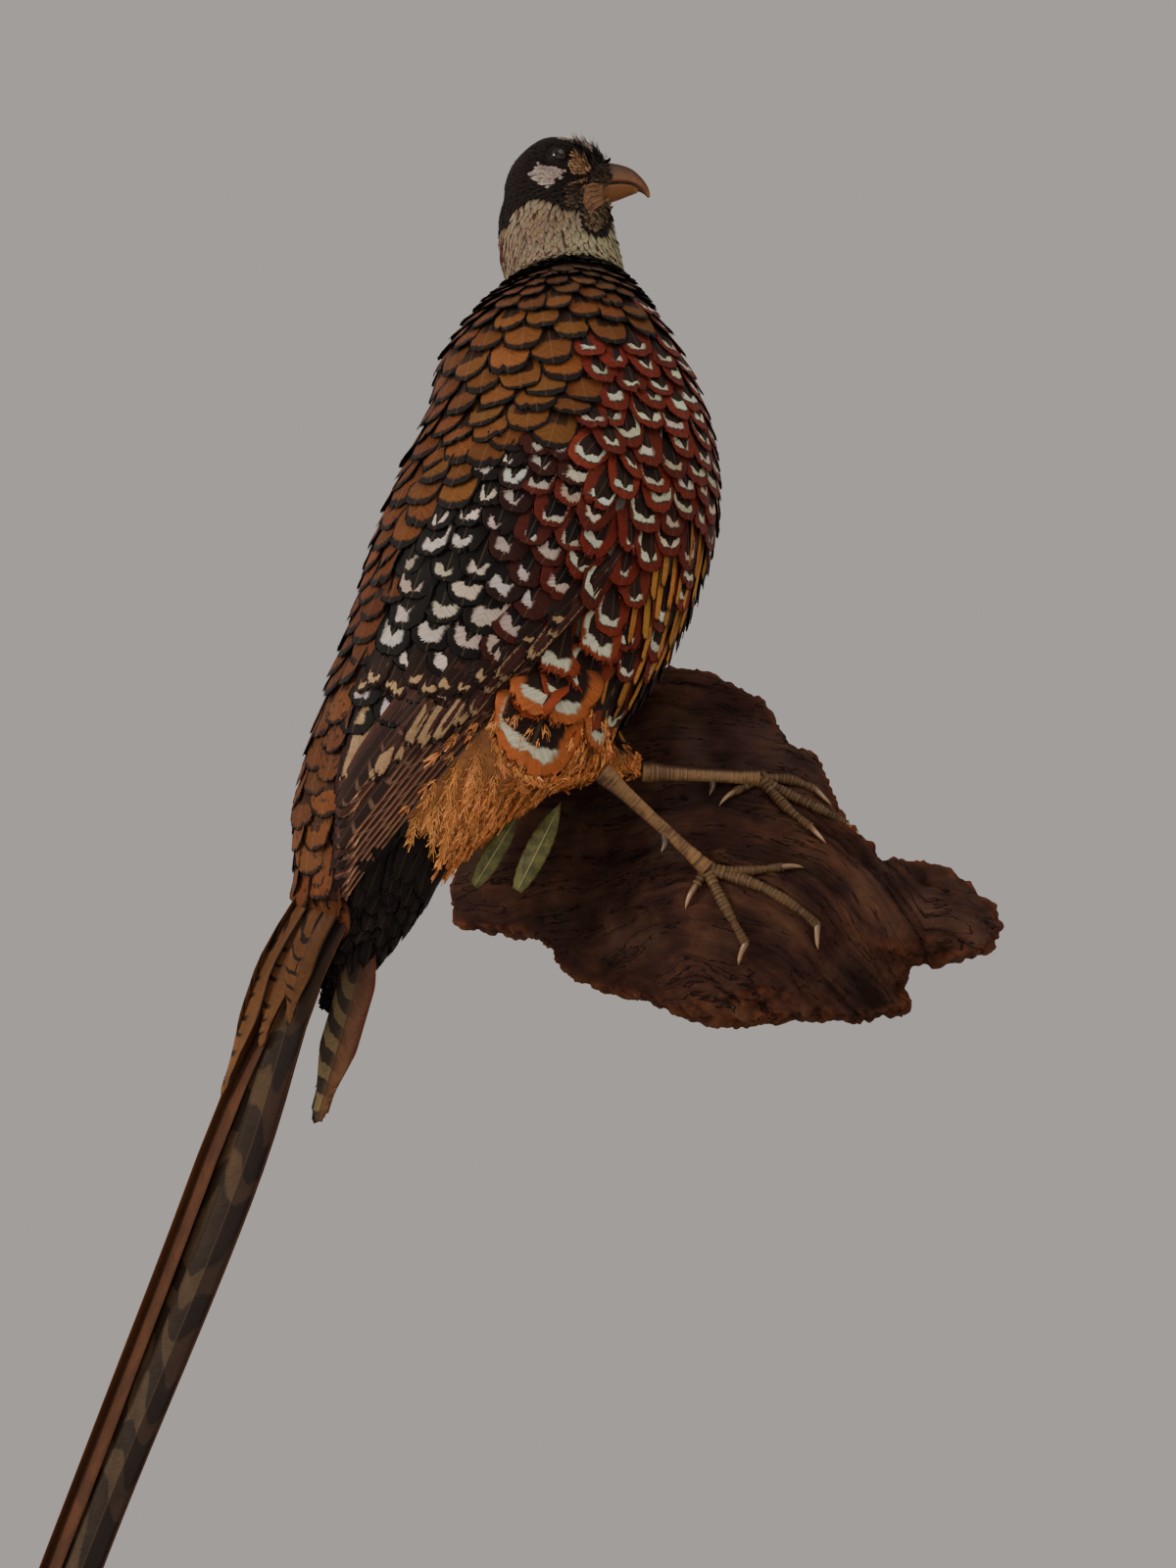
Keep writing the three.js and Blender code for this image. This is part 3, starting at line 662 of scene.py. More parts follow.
def lieOfFeathers(places, normals):
    # the way the feathers point, in the bird's axes
    f, l, d = places.T
    side = np.where(l < 0, -1, 1)
    body = places - bodySource
    body = unit(body * np.array([1, 1, 0.8]))
    q = wingHeight(f, d, side)
    onWing = smoothStep(-0.05, 0.1, q) * (q < 1.05) * (np.abs(l) > 18)
    tilt = np.radians(np.interp(q, [0, 0.3, 0.9], [-18, -4, 10]))
    wing = np.stack([-np.cos(tilt), 0 * f, -np.sin(tilt)], 1)
    lie = body * (1 - onWing[:, None]) + wing * onWing[:, None]
    onNeck = smoothStep(138, 160, f)[:, None]
    neck = np.array([-0.9, 0, -0.3]) + 0 * places
    lie = lie * (1 - onNeck) + neck * onNeck
    onHead = smoothStep(176, 200, f)[:, None]
    head = unit(places - faceSource)
    lie = lie * (1 - onHead) + head * onHead
    lie = lie - (lie * normals).sum(1, keepdims=True) * normals
    return unit(lie)


def frontPacking(places, normals, lies, across, row, order):
    # fills the surface from the bill to the tail; each new root lies in the first free gap
    reach = row / 0.866  # rows of a hexagonal packing
    spread = np.maximum(across, reach)
    sequence = np.argsort(order)
    taken = np.empty(len(places), int)
    count, first = 0, 0
    window = spread.max()
    sides = np.cross(normals, lies)
    for i in sequence:
        while first < count and order[i] - order[taken[first]] > window:
            first += 1
        near = taken[first:count]
        gap = places[near] - places[i]
        along = gap @ lies[i] / reach[i]
        aside = gap @ sides[i] / across[i]
        away = gap @ normals[i] / across[i]
        if len(near) and (along ** 2 + aside ** 2 + away ** 2).min() < 1:
            continue
        taken[count] = i
        count += 1
    return taken[:count]


def candidates(surface, count, inside, seed):
    # random places on the form's faces, with smooth normals
    rng = np.random.default_rng(seed)
    halves = [(face[0], face[2], face[3]) for face in surface.faces if len(face) == 4]
    triangles = np.array([face[:3] for face in surface.faces] + halves)
    corners = surface.places[triangles]
    centre = toBird(corners.mean(1))
    area = np.linalg.norm(np.cross(corners[:, 1] - corners[:, 0], corners[:, 2] - corners[:, 0]), axis=1)
    area *= inside(*centre.T)
    chosen = rng.choice(len(triangles), count, p=area / area.sum())
    a, b = rng.random(count), rng.random(count)
    flip = a + b > 1
    a[flip], b[flip] = 1 - a[flip], 1 - b[flip]
    weights = np.stack([1 - a - b, a, b], 1)[:, :, None]
    places = (corners[chosen] * weights).sum(1)
    normals = unit((surface.normals[triangles[chosen]] * weights).sum(1))
    return toBird(places), normals @ birdAxes.T


def vaneShape(columns, rows, teeth=True):
    # one flat vane as a grid, u across and v along, with pointed barb ends along its rim
    u = np.linspace(-1, 1, columns + 1)
    v = 1 - (1 - np.linspace(0, 1, rows + 1)) ** 1.5
    uu, vv = np.meshgrid(u, v)
    grid = np.arange((columns + 1) * (rows + 1)).reshape(rows + 1, columns + 1)
    shape = {"u": uu.ravel(), "v": vv.ravel(), "quads": gridFaces(grid), "out": np.zeros((uu.size, 2)),
             "tris": noTriangles}
    if not teeth:
        return shape
    extra, tris = [], []
    for i in range(columns):
        middle = (u[i] + u[i + 1]) / 2
        extra.append((middle, 1.0, middle * 0.7, 1.0))
        tris.append((grid[-1, i], grid[-1, i + 1], uu.size + len(extra) - 1))
    for j in range(max(rows - 3, 1), rows):
        for edge, column in ((-1, 0), (1, columns)):
            extra.append((edge, (v[j] + v[j + 1]) / 2 + 0.03, edge * 0.8, 0.5))
            ends = (grid[j, column], grid[j + 1, column], uu.size + len(extra) - 1)
            tris.append(ends if edge < 0 else (ends[1], ends[0], ends[2]))
    extra = np.array(extra)
    shape["u"] = np.append(shape["u"], extra[:, 0])
    shape["v"] = np.append(shape["v"], extra[:, 1])
    shape["out"] = np.concatenate([shape["out"], extra[:, 2:]])
    shape["tris"] = np.array(tris)[:, ::-1]
    return shape


def plumeShape(barbs, width):
    # a loose feather: a shaft with separate barbs, each a narrow strip
    u, v, quads = [], [], []

    def strip(points, half):
        start = len(u)
        for k, (x, y) in enumerate(points):
            taper = half * (1 - 0.75 * k / (len(points) - 1))
            u.extend((x - taper, x + taper))
            v.extend((y, y))
        for k in range(len(points) - 1):
            a = start + 2 * k
            quads.append((a, a + 1, a + 3, a + 2))

    strip([(0, 0), (0, 0.5), (0, 1)], 0.05)
    for k in range(barbs):
        base = 0.04 + 0.8 * k / barbs
        reach = 0.3 + 0.16 * math.sin(k * 2.4)
        for hand in (-1, 1):
            wide = hand * (0.75 + 0.25 * math.sin(k * 1.7 + hand))
            strip([(0, base), (wide * 0.62, base + reach * 0.55), (wide, base + reach)], width)
    return {"u": np.array(u), "v": np.array(v), "quads": np.array(quads),
            "out": np.zeros((len(u), 2)), "tris": noTriangles}


shapes = {
    "vane": vaneShape(10, 5), "small": vaneShape(6, 4), "tiny": vaneShape(2, 3, False),
    "long": vaneShape(6, 22), "broad": vaneShape(8, 10), "wide": vaneShape(26, 10),
    "ribbon": vaneShape(6, 40), "plume": plumeShape(11, 0.085),
}


def walkSurface(surface, starts, headings, lengths, steps):
    # follows the form from each root; gives places, normals and headings along the way
    places = np.empty((len(starts), steps + 1, 3))
    normals, ways = np.empty_like(places), np.empty_like(places)
    for i, (start, heading, length) in enumerate(zip(starts, headings, lengths)):
        spot, way = Vector(start), Vector(heading)
        for k in range(steps + 1):
            spot, normal = surface.nearest(spot)
            way = (way - normal * way.dot(normal)).normalized()
            places[i, k], normals[i, k], ways[i, k] = spot, normal, way
            spot = spot + way * (length / steps)
    return places, normals, ways


def layFeathers(name, shape, tracks, look, form, seed):
    # tracks: places, normals, ways (n, k, 3) in metres; look and form: arrays of n, in mm
    rng = np.random.default_rng(seed)
    places, normals, ways = tracks
    count, steps = len(places), places.shape[1] - 1
    size = len(shape["u"])
    u, v = shape["u"][None, :], shape["v"][None, :]
    length, half = look["length"][:, None], look["half"][:, None]
    profile = form["root"] + (1 - form["root"]) * smoothStep(0, form["widest"], v)
    profile = profile * (1 - form["taper"] * smoothStep(0.7, 1.0, v))
    bow = np.sqrt(np.clip(1 - np.abs(u) ** form["bluntness"], 0, 1))
    tip = 1 - np.minimum(half * form["round"] / length, 0.6) * (1 - bow)
    # a split or two in the rim, and uneven barb ends
    ragged = rng.normal(0, form["ragged"], (count, size)) * smoothStep(0.75, 1, v)
    split = rng.uniform(-0.8, 0.8, (count, 1))
    notch = np.exp(-((u - split) / 0.09) ** 2) * smoothStep(0.7, 1.0, v)
    notch = notch * (rng.random((count, 1)) < form["splits"]) * rng.uniform(1, 4, (count, 1))
    along = v * tip * length + ragged - notch
    tooth = shape["out"][None] * (rng.uniform(0.3, 1.0, (count, size)) * form["teeth"])[:, :, None]
    x = u * half * profile + tooth[:, :, 0]
    y = along + tooth[:, :, 1]
    # height over the form: from the skin at the root to just proud at the tip
    share = np.clip(y / length, 0, 1.1)
    depth = look["depth"][:, None]
    lift = look["lift"][:, None] * rng.uniform(0.3, 1.3, (count, 1))
    height = -depth * np.clip(1 - share, 0, 1) ** form["rise"] + lift * share ** 2
    height = height - x ** 2 / (2 * form["bend"]) - form["curl"] * np.abs(u) ** 3 * share
    height = height + 0.12 * np.exp(-(u / 0.12) ** 2)
    height = height + rng.uniform(-1, 1, (count, 1)) * form["twist"] * u * share
    height = height + rng.normal(0, form["rumple"], (count, size)) * share
    side = x + np.tan(rng.normal(0, form["stray"], (count, 1))) * y
    # along the walked way
    spot = np.clip(y / length, 0, 1) * steps
    low = np.minimum(spot.astype(int), steps - 1)
    part = (spot - low)[:, :, None]
    row = np.arange(count)[:, None]

    def between(values):
        return values[row, low] * (1 - part) + values[row, low + 1] * part

    up, way = unit(between(normals)), unit(between(ways))
    beyond = np.maximum(y / length - 1, 0) * length
    aside = np.cross(up, way)
    spots = between(places) + aside * side[:, :, None] / 1000 + up * height[:, :, None] / 1000
    spots = spots + way * beyond[:, :, None] / 1000
    offsets = np.arange(count)[:, None, None] * size
    faces = [(shape["quads"][None] + offsets).reshape(-1, 4)]
    if len(shape["tris"]):
        faces.append((shape["tris"][None] + offsets).reshape(-1, 3))
    thing = meshFrom(name, spots.reshape(-1, 3), faces)
    vane = np.stack([np.broadcast_to(u * 0.5 + 0.5, (count, size)),
                     np.broadcast_to(np.clip(v, 0, 1), (count, size))], -1)
    addMap(thing, "vane", vane.reshape(-1, 2))
    patch = look["patch"][:, None, :] + (vane - 0.5) * form["patch"]
    addMap(thing, "OFBake", patch.reshape(-1, 2))

    def spreadOut(values):
        return np.repeat(values, size, axis=0)

    for key in look:
        if key.endswith("Tint"):
            values = look[key]
            addTint(thing, key, spreadOut(values) if values.ndim == 2 else values.reshape(-1, 3))
    own = np.stack([look["length"], look["half"], rng.random(count)], 1)
    addVector(thing, "featherSize", spreadOut(own))
    addVector(thing, "featherBands", spreadOut(look["bands"]))
    addVector(thing, "featherCut", spreadOut(look["cut"]))
    thing.data.materials.append(look.get("material") or plumage)
    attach(thing, "root")
    return thing


def unwrapPlaces(places):
    # each root's place on a wrap of the body round its own long axis
    f, l, d = places.T
    turn = np.arctan2(l, d)
    return np.stack([np.interp(f, [-290, 240], [0.02, 0.98]), 0.5 + turn / (2 * math.pi) * 0.96], 1)


def headPlaces(places):
    f, l, d = places.T
    turn = np.arctan2(l, f - 185)
    return np.stack([np.interp(d, [0, 105], [0.02, 0.98]), 0.5 + turn / (2 * math.pi) * 0.96], 1)


vaneForm = dict(root=0.35, widest=0.5, taper=0.1, bluntness=2.2, round=0.8, ragged=0.35, splits=0.45,
                teeth=1.1, rise=1.15, bend=70.0, curl=0.7, twist=0.5, rumple=0.1, stray=0.05, patch=0.016)
plumeForm = dict(vaneForm, root=0.5, taper=0.35, ragged=0.4, splits=0, curl=0.2, twist=0.8,
                 rumple=0.45, stray=0.16, bend=40.0, patch=0.006)
headForm = dict(vaneForm, root=0.6, ragged=0.12, splits=0, teeth=0.3, bend=16.0, curl=0.1, twist=0.1,
                rumple=0.05, stray=0.12, patch=0.006)


def isAny(region, *names):
    return np.isin(region, [regionId[name] for name in names])


def looksFor(region, places, rng, tintSpread=0.12):
    look = {}
    count = len(region)
    for key in ("length", "lift"):
        look[key] = table(key)[region]
    across = table("across")[region]
    look["half"] = across * 0.64
    # the colour drifts slowly over the body, from golden to browner
    drift = np.array([noise.noise(spot / 38) + 0.6 * noise.noise(spot / 15) for spot in places])[:, None]
    drift = drift * np.array([0.28, 0.42, 0.5])
    for key in ("fringe", "band", "base"):
        tint = table(key)[region]
        spread = rng.normal(0, tintSpread, (count, 1)) + rng.normal(0, 0.05, (count, 3))
        look[key + "Tint"] = tint * np.exp(spread + drift)
    look["bands"] = table("bands")[region] * rng.uniform(0.72, 1.2, (count, 1))
    look["cut"] = table("cut")[region].copy()
    marked = look["cut"][:, 2] < 2
    look["cut"][marked, 2] *= rng.uniform(0.55, 1.4, marked.sum())
    look["cut"][marked, 0] *= rng.uniform(0.2, 1.6, marked.sum())
    look["depth"] = np.full(count, skinPlan["bodyDepth"])
    look["patch"] = unwrapPlaces(places)
    return look


coatPlan = {"tries": 42000, "trySeed": 5, "seed": 11, "steps": 5, "pieceSeed": 100}


def coatBody():
    rng = np.random.default_rng(coatPlan["seed"])

    def inside(f, l, d):
        # more tries where the feathers are small, and none on the head
        weight = np.ones(len(f))
        weight[f > 100] = 3
        weight[f < -84] = 2.5
        weight[(f > 176) | ((f > 150) & (d > 60))] = 0
        return weight

    places, normals = candidates(outer, coatPlan["tries"], inside, coatPlan["trySeed"])
    gap = neckGap(toWorld(places))
    keep = gap > 1.0
    places, normals, gap = places[keep], normals[keep], gap[keep]
    wander = rng.normal(0, 1, len(places)).clip(-1.5, 1.5)
    lies = lieOfFeathers(places, normals)
    # a feather takes its kind from where its tip lies
    tips = places + lies * np.interp(gap, [0, 12, 60], [3, 6, 19])[:, None]
    region = bodyRegion(*tips.T, gap, wander)
    # feathers shrink towards the collar
    shrink = np.interp(gap, [0, 12, 60], [1.0, 0.42, 1.0])
    shrink = np.where(region == regionId["collar"], 1.0, shrink)
    onBreast = region == regionId["breast"]
    shrink = np.where(onBreast, np.interp(gap, [0, 12, 44], [1.0, 0.5, 1.0]), shrink)
    # the upper coverts are smaller than the lower ones
    upper = np.interp(places[:, 0], [-44, 26], [1.0, 0.74])
    shrink = np.where(region == regionId["coverts"], shrink * upper, shrink)
    across, row = table("across")[region] * shrink, table("row")[region] * shrink
    order = np.linalg.norm(places - bodySource, axis=1)
    taken = frontPacking(places, normals, lies, across, row, order)
    places, lies, gap, region, shrink = (x[taken] for x in (places, lies, gap, region, shrink))
    look = looksFor(region, places, rng)
    look["half"] *= shrink
    look["length"] *= shrink ** 0.9
    look["bands"][:, :2] *= shrink[:, None] ** 0.8
    # fine feathers by the collar are browner
    near = smoothStep(40, 12, gap)[:, None] * (region == regionId["mantle"])[:, None]
    look["bandTint"] *= 1 - near * 0.45
    look["bands"][:, :1] *= 1 - near * 0.55
    # the back is a duller brown than the shoulder
    phi = np.degrees(np.arctan2(np.abs(places[:, 1]), places[:, 2]))
    dull = (smoothStep(58, 18, phi) * (region == regionId["mantle"]))[:, None]
    look["bandTint"] *= 1 - dull * np.array([0.2, 0.34, 0.2])
    # black coverts take up the maroon of the breast along their border
    toBreast = smoothStep(26, 2, np.interp(places[:, 0], *covertEdge) - phi) * (region == regionId["coverts"])
    toBreast = (toBreast * rng.uniform(0.3, 1.0, len(region)))[:, None]
    look["fringeTint"] = look["fringeTint"] * (1 - toBreast) + maroon * 0.8 * toBreast
    look["bands"] *= 1 - toBreast * np.array([0, 0.2, 0])
    # the last coverts over the rump are small and faintly marked
    last = (region == regionId["coverts"]) & (places[:, 0] < -96)
    look["cut"][last, 2] *= 0.5
    look["bandTint"][last] = cream
    # and towards the tail the gold turns dull brown
    lower = (smoothStep(70, -90, places[:, 0]) * isAny(region, "mantle", "rump"))[:, None]
    look["bandTint"] *= 1 - lower * np.array([0.22, 0.3, 0.25])
    print("body feathers:", len(taken))
    return places, lies, region, look


coatPieces = [
    ("coat_mantle", "vane", ["mantle"], vaneForm, "body_feathers"),
    ("coat_breast", "vane", ["breast"], vaneForm, "body_feathers"),
    ("coat_flank", "vane", ["flank"], vaneForm, "body_feathers"),
    ("coat_rump", "vane", ["rump"], vaneForm, "rump_feathers"),
    ("coat_coverts", "vane", ["coverts"], vaneForm, "wing_feathers"),
    ("coat_belly", "vane", ["streaks", "belly"], dict(vaneForm, round=1.3), "body_feathers"),
    ("coat_collar", "small", ["collar"], dict(vaneForm, ragged=0.2, splits=0), "body_feathers"),
    ("coat_thighs", "plume", ["thigh"], plumeForm, "thigh_feathers"),
    ("coat_vent", "vane", ["vent"], dict(vaneForm, round=1.4, ragged=0.8, teeth=2.0), "vent_feathers"),
]


def layCoat(coat, pieces, plan):
    places, lies, kinds, look = coat
    walked = walkSurface(outer, toWorld(places), turnToWorld(lies), look["length"] / 1000, plan["steps"])
    for number, (name, shape, kept, form, slot) in enumerate(pieces):
        chosen = isAny(kinds, *kept)
        tracks = tuple(part[chosen] for part in walked)
        own = {key: value[chosen] for key, value in look.items()}
        piece = layFeathers(name, shapes[shape], tracks, own, form, plan["pieceSeed"] + number)
        print(name, int(chosen.sum()), "feathers")


layCoat(coatBody(), coatPieces, coatPlan)

headPlan = {"tries": 60000, "trySeed": 9, "seed": 23, "steps": 4, "pieceSeed": 200, "eyeGap": 5.8}


def aboveCollar(gap, f):
    # on the neck's own solid, or on the head
    return (gap < 1.6) | (f > 185)


def coatHead():
    rng = np.random.default_rng(headPlan["seed"])

    def inside(f, l, d):
        # most of the tries fall on the head
        onHead = (f > 150) & (d > 45) | (f > 172)
        onNeck = (f > 118) & (f < 176) & (d > 0)
        return np.where(onHead, 6.0, 0.0) + np.where(onNeck, 1.5, 0.0)

    places, normals = candidates(outer, headPlan["tries"], inside, headPlan["trySeed"])
    gap = neckGap(toWorld(places))
    f, l, d = places.T
    eyeSpots = np.stack([0 * f + eye["forward"], np.sign(l) * 16.5, 0 * f + eye["dorsal"]], 1)
    eyeGap = np.linalg.norm(places - eyeSpots, axis=1)
    billGap = (d < 44) & (f > 203) | insideOutline(d, f, gapeOutline)
    keep = aboveCollar(gap, f) & (eyeGap > headPlan["eyeGap"]) & ~billGap
    places, normals = places[keep], normals[keep]
    lies = lieOfFeathers(places, normals)
    region = headRegion(*(places + lies * np.where(places[:, 0] > 178, 3.4, 6.0)[:, None]).T)
    across, row = table("across")[region], table("row")[region]
    face = smoothStep(80, 60, places[:, 2]) * smoothStep(190, 200, places[:, 0])
    scale = 1 - 0.3 * face
    order = np.linalg.norm(places - billTip, axis=1)
    taken = frontPacking(places, normals, lies, across * scale, row * scale, order)
    places, lies, region, scale = (x[taken] for x in (places, lies, region, scale))
    look = looksFor(region, places, rng, 0.1)
    look["half"] *= scale
    look["length"] *= scale
    onNeck = region == regionId["neck"]
    look["depth"] = np.where(onNeck, 1.4, skinPlan["headDepth"])
    # worn tufts stand up over the forehead
    tuft = (places[:, 0] > 215) & (places[:, 2] < 66) & (rng.random(len(region)) < 0.5)
    look["lift"] = np.where(tuft, rng.uniform(1.2, 5.5, len(region)), look["lift"])
    look["length"] = np.where(tuft, look["length"] * 1.5, look["length"])
    # bristles reach forward over the root of the bill
    bristle = (places[:, 0] > 200) & (places[:, 2] < 50) & (rng.random(len(region)) < 0.6)
    lies[bristle] *= -1
    look["lift"] = np.where(bristle, rng.uniform(1.2, 2.6, len(region)), look["lift"])
    look["patch"] = headPlaces(places)
    # flecks of grey-brown in the white of the neck
    dirt = np.array([noise.noise(spot / 9) for spot in places])
    fleck = (rng.random(len(region)) < 0.02 + 0.25 * (dirt > 0.33)) & onNeck
    look["bandTint"][fleck] = brown * 1.1
    throat = (smoothStep(58, 34, places[:, 2]) * onNeck)[:, None]
    greenish, pinkish = np.array([1.02, 1.08, 0.92]), np.array([0.78, 0.72, 0.72])
    for key in ("fringeTint", "bandTint", "baseTint"):
        look[key] *= pinkish * (1 - throat) + greenish * throat
    mottle = isAny(region, "jaw", "oliveFace", "lores", "chin")
    look["bandTint"][mottle & (rng.random(len(region)) < 0.34)] *= 0.22
    print("head and neck feathers:", len(taken))
    return places, lies, region, look


neckForm = dict(headForm, taper=0.5, bend=30.0, ragged=0.5, rumple=0.04, stray=0.2, patch=0.005)
headPieces = [
    ("coat_head", "tiny", ["headBlack", "headWhite", "lores", "oliveFace", "jaw", "chin"], headForm,
     "head_feathers"),
    ("coat_neck", "tiny", ["neck", "napeRed"], neckForm, "neck_feathers"),
]
layCoat(coatHead(), headPieces, headPlan)

quillLook = {"barbSlant": 1.3, "barbPitch": 0.8, "shaft": (0.05, 0.028, 0.016)}


def quillMaterial():
    # long feathers: a tint for each side of the shaft, cross bars, a pale margin
    n = Nodes("quill", 0.55, Sheen_Weight=0.03, Specular_IOR_Level=0.14)
    v, size, bars, cut, signed, across = vaneInputs(n)
    run = n.times(v, size[0])
    outward = n.times(across, size[1])
    barb = n.minus(run, n.times(outward, quillLook["barbSlant"]))
    hand = n.times(n.math("SIGN", signed), 7.3)
    seed = n.times(size[2], 91)
    jag = n.noise(n.join(n.times(barb, 0.9), hand, seed), 1.0, 3.0, 0.7)
    blotch = n.noise(n.join(n.times(signed, 1.1), n.times(run, 0.045), seed), 1.0, 3.0, 0.6)
    side = n.ramp(n.plus(signed, n.times(n.minus(jag, 0.5), 0.1)), -0.05, 0.05)
    colour = n.mix(side, n.tint("leftTint"), n.tint("rightTint"))
    phase = n.divide(n.plus(run, n.times(n.minus(jag, 0.5), 3)), bars[0])
    sway = n.noise(n.join(n.times(signed, 0.7), n.times(run, 0.018), seed), 1.0, 0.0)
    phase = n.plus(phase, n.times(sway, 1.6))
    wave = n.absolute(n.minus(n.math("FRACT", phase), 0.5))
    bar = n.fall(wave, n.times(bars[1], 0.5), n.timesPlus(bars[1], 0.5, 0.05))
    reach = n.ramp(n.times(signed, cut[0]), -0.25, 0.2)
    bar = n.times(n.times(bar, bars[2]), reach)
    colour = n.mix(bar, colour, n.tint("barTint"))
    margin = n.ramp(n.times(signed, n.math("SIGN", cut[1])), n.minus(1, n.absolute(cut[1])), 1.0)
    margin = n.times(margin, n.ramp(blotch, 0.25, 0.45, 0.3, 1.0))
    colour = n.mix(margin, colour, n.tint("edgeTint"))
    streak = n.noise(n.join(n.times(barb, 2.2), n.times(across, 1.5), seed), 1.0, 3.0, 0.65)
    shade = n.times(n.ramp(streak, 0.25, 0.75, 0.75, 1.2), n.ramp(blotch, 0.25, 0.75, 0.8, 1.15))
    colour = n.darken(colour, shade)
    shaft = n.fall(across, 0.03, 0.07)
    colour = n.lay(colour, quillLook["shaft"], shaft, cut[2])
    ridge = n.math("SINE", n.times(barb, 2 * math.pi / quillLook["barbPitch"]))
    height = n.plus(n.times(ridge, 0.5), n.times(shaft, 2.5))
    n.bump(n.plus(height, n.times(streak, 1.5)), 0.35, 0.0003)
    return n.finish(colour, n.ramp(streak, 0.2, 0.8, 0.65, 0.45))


quill = quillMaterial()

longForm = dict(vaneForm, root=0.55, widest=0.25, taper=0.2, round=1.6, bend=400.0, curl=0.3, twist=0.3,
                stray=0.0, rumple=0.06, ragged=0.4, splits=0.3, rise=0.6)


def trackThrough(finder, points, steps):
    # walks a list of (forward, sideways) points over a form; finder gives place and normal
    points = np.asarray(points, float)
    share = np.linspace(0, 1, len(points))
    spots, ups = [], []
    for t in np.linspace(0, 1, steps + 1):
        hit, normal = finder(*[np.interp(t, share, points[:, k]) for k in range(points.shape[1])])
        if hit is None:
            hit, normal = (spots[-1], ups[-1]) if spots else (Vector(birdPlace), Vector(dorsalAxis))
        spots.append(np.array(hit))
        ups.append(np.array(normal))
    spots, ups = np.array(spots), np.array(ups)
    for _ in range(3):
        spots[1:-1] = (spots[:-2] + 2 * spots[1:-1] + spots[2:]) / 4
        ups[1:-1] = (ups[:-2] + 2 * ups[1:-1] + ups[2:]) / 4
    ups = unit(ups)
    ways = np.gradient(spots, axis=0)
    ways = unit(ways - (ways * ups).sum(1, keepdims=True) * ups)
    return spots, ups, ways


def layQuills(name, feathers, shape, shapeForm, seed, material=None):
    # feathers: dictionaries with track, half, depth, lift and tints; each gets its own strip in the bake map
    count = len(feathers)
    tracks = tuple(np.array([feather["track"][k] for feather in feathers]) for k in range(3))
    look = {"length": np.linalg.norm(np.diff(tracks[0], axis=1), axis=2).sum(1) * 1000}
    for key in ("half", "depth", "lift", "bands", "cut"):
        look[key] = np.array([feather[key] for feather in feathers], float)
    u, v = shapes[shape]["u"], shapes[shape]["v"][:, None]
    size = len(u)

    def spreadTint(tint):
        # one colour, or two that blend from the root to the tip
        return np.broadcast_to(tint, (size, 3)) if np.ndim(tint) == 1 else tint[0] * (1 - v) + tint[1] * v

    for key in feathers[0]:
        if key.endswith("Tint"):
            look[key] = np.array([spreadTint(feather[key]) for feather in feathers])
    look["patch"] = np.stack([(np.arange(count) + 0.5) / count, np.full(count, 0.5)], 1)
    look["material"] = material or quill
    piece = layFeathers(name, shapes[shape], tracks, look, dict(shapeForm, patch=1.0), seed)
    layer = piece.data.uv_layers["OFBake"]
    strip = np.repeat(np.arange(count), size)
    aside, along = np.tile(u * 0.5 + 0.5, count), np.tile(np.clip(v[:, 0], 0, 1), count)
    values = np.stack([(strip + 0.06 + aside * 0.88) / count, 0.01 + along * 0.98], 1)
    layer.uv.foreach_set("vector", values[cornerIndices(piece)].astype(np.float32).ravel())
    applyModifier(piece, "SOLIDIFY", thickness=0.0003, offset=-1.0)
    print(name, count, "feathers")
    return piece


def roundTrack(side, path):
    # a track through (station, angle) points round the body
    return trackThrough(lambda f, angle: outer.fromAngle(f, angle, side), path, 8)


def wingQuills(side):
    # the folded flight feathers: each one shows a strip of its outer edge along the wing's lower edge
    finder = lambda f, d: outer.fromSide(f, d, side)
    feathers = []
    for k in range(12):
        fs = np.linspace(-62 - 4.2 * k, -228 + 5 * k, 9)
        expose = np.interp(fs, [-210, -20], [2.3, 4.2])
        lows = np.interp(fs, wingStations, wingLower[side])
        d = lows + 4.5 + k * expose
        tone = linear(64, 34, 27) if k % 2 else linear(44, 25, 20)
        feathers.append(dict(
            track=trackThrough(finder, np.stack([fs, d], 1), 14), half=6.0, depth=max(1.6 - 0.2 * k, 0.4),
            lift=min(-0.4 + 0.2 * k, 1.2), leftTint=tone, rightTint=tone * 0.8, barTint=linear(188, 146, 118),
            edgeTint=np.array([tone, linear(184, 132, 100)]), bands=(14, 0.12, 0.2),
            cut=(-side, 0.3 * -side, 0.8)))
    return feathers


# tips of the greater coverts round the wing: station along the back by angle from the back
covertTips = ([40, 46, 62, 72, 83, 90, 99, 106, 112], [-178, -165, -156, -138, -125, -108, -88, -66, -40])
spotTips = ([40, 56, 72, 84, 94, 102, 110], [-124, -116, -110, -104, -86, -68, -42])


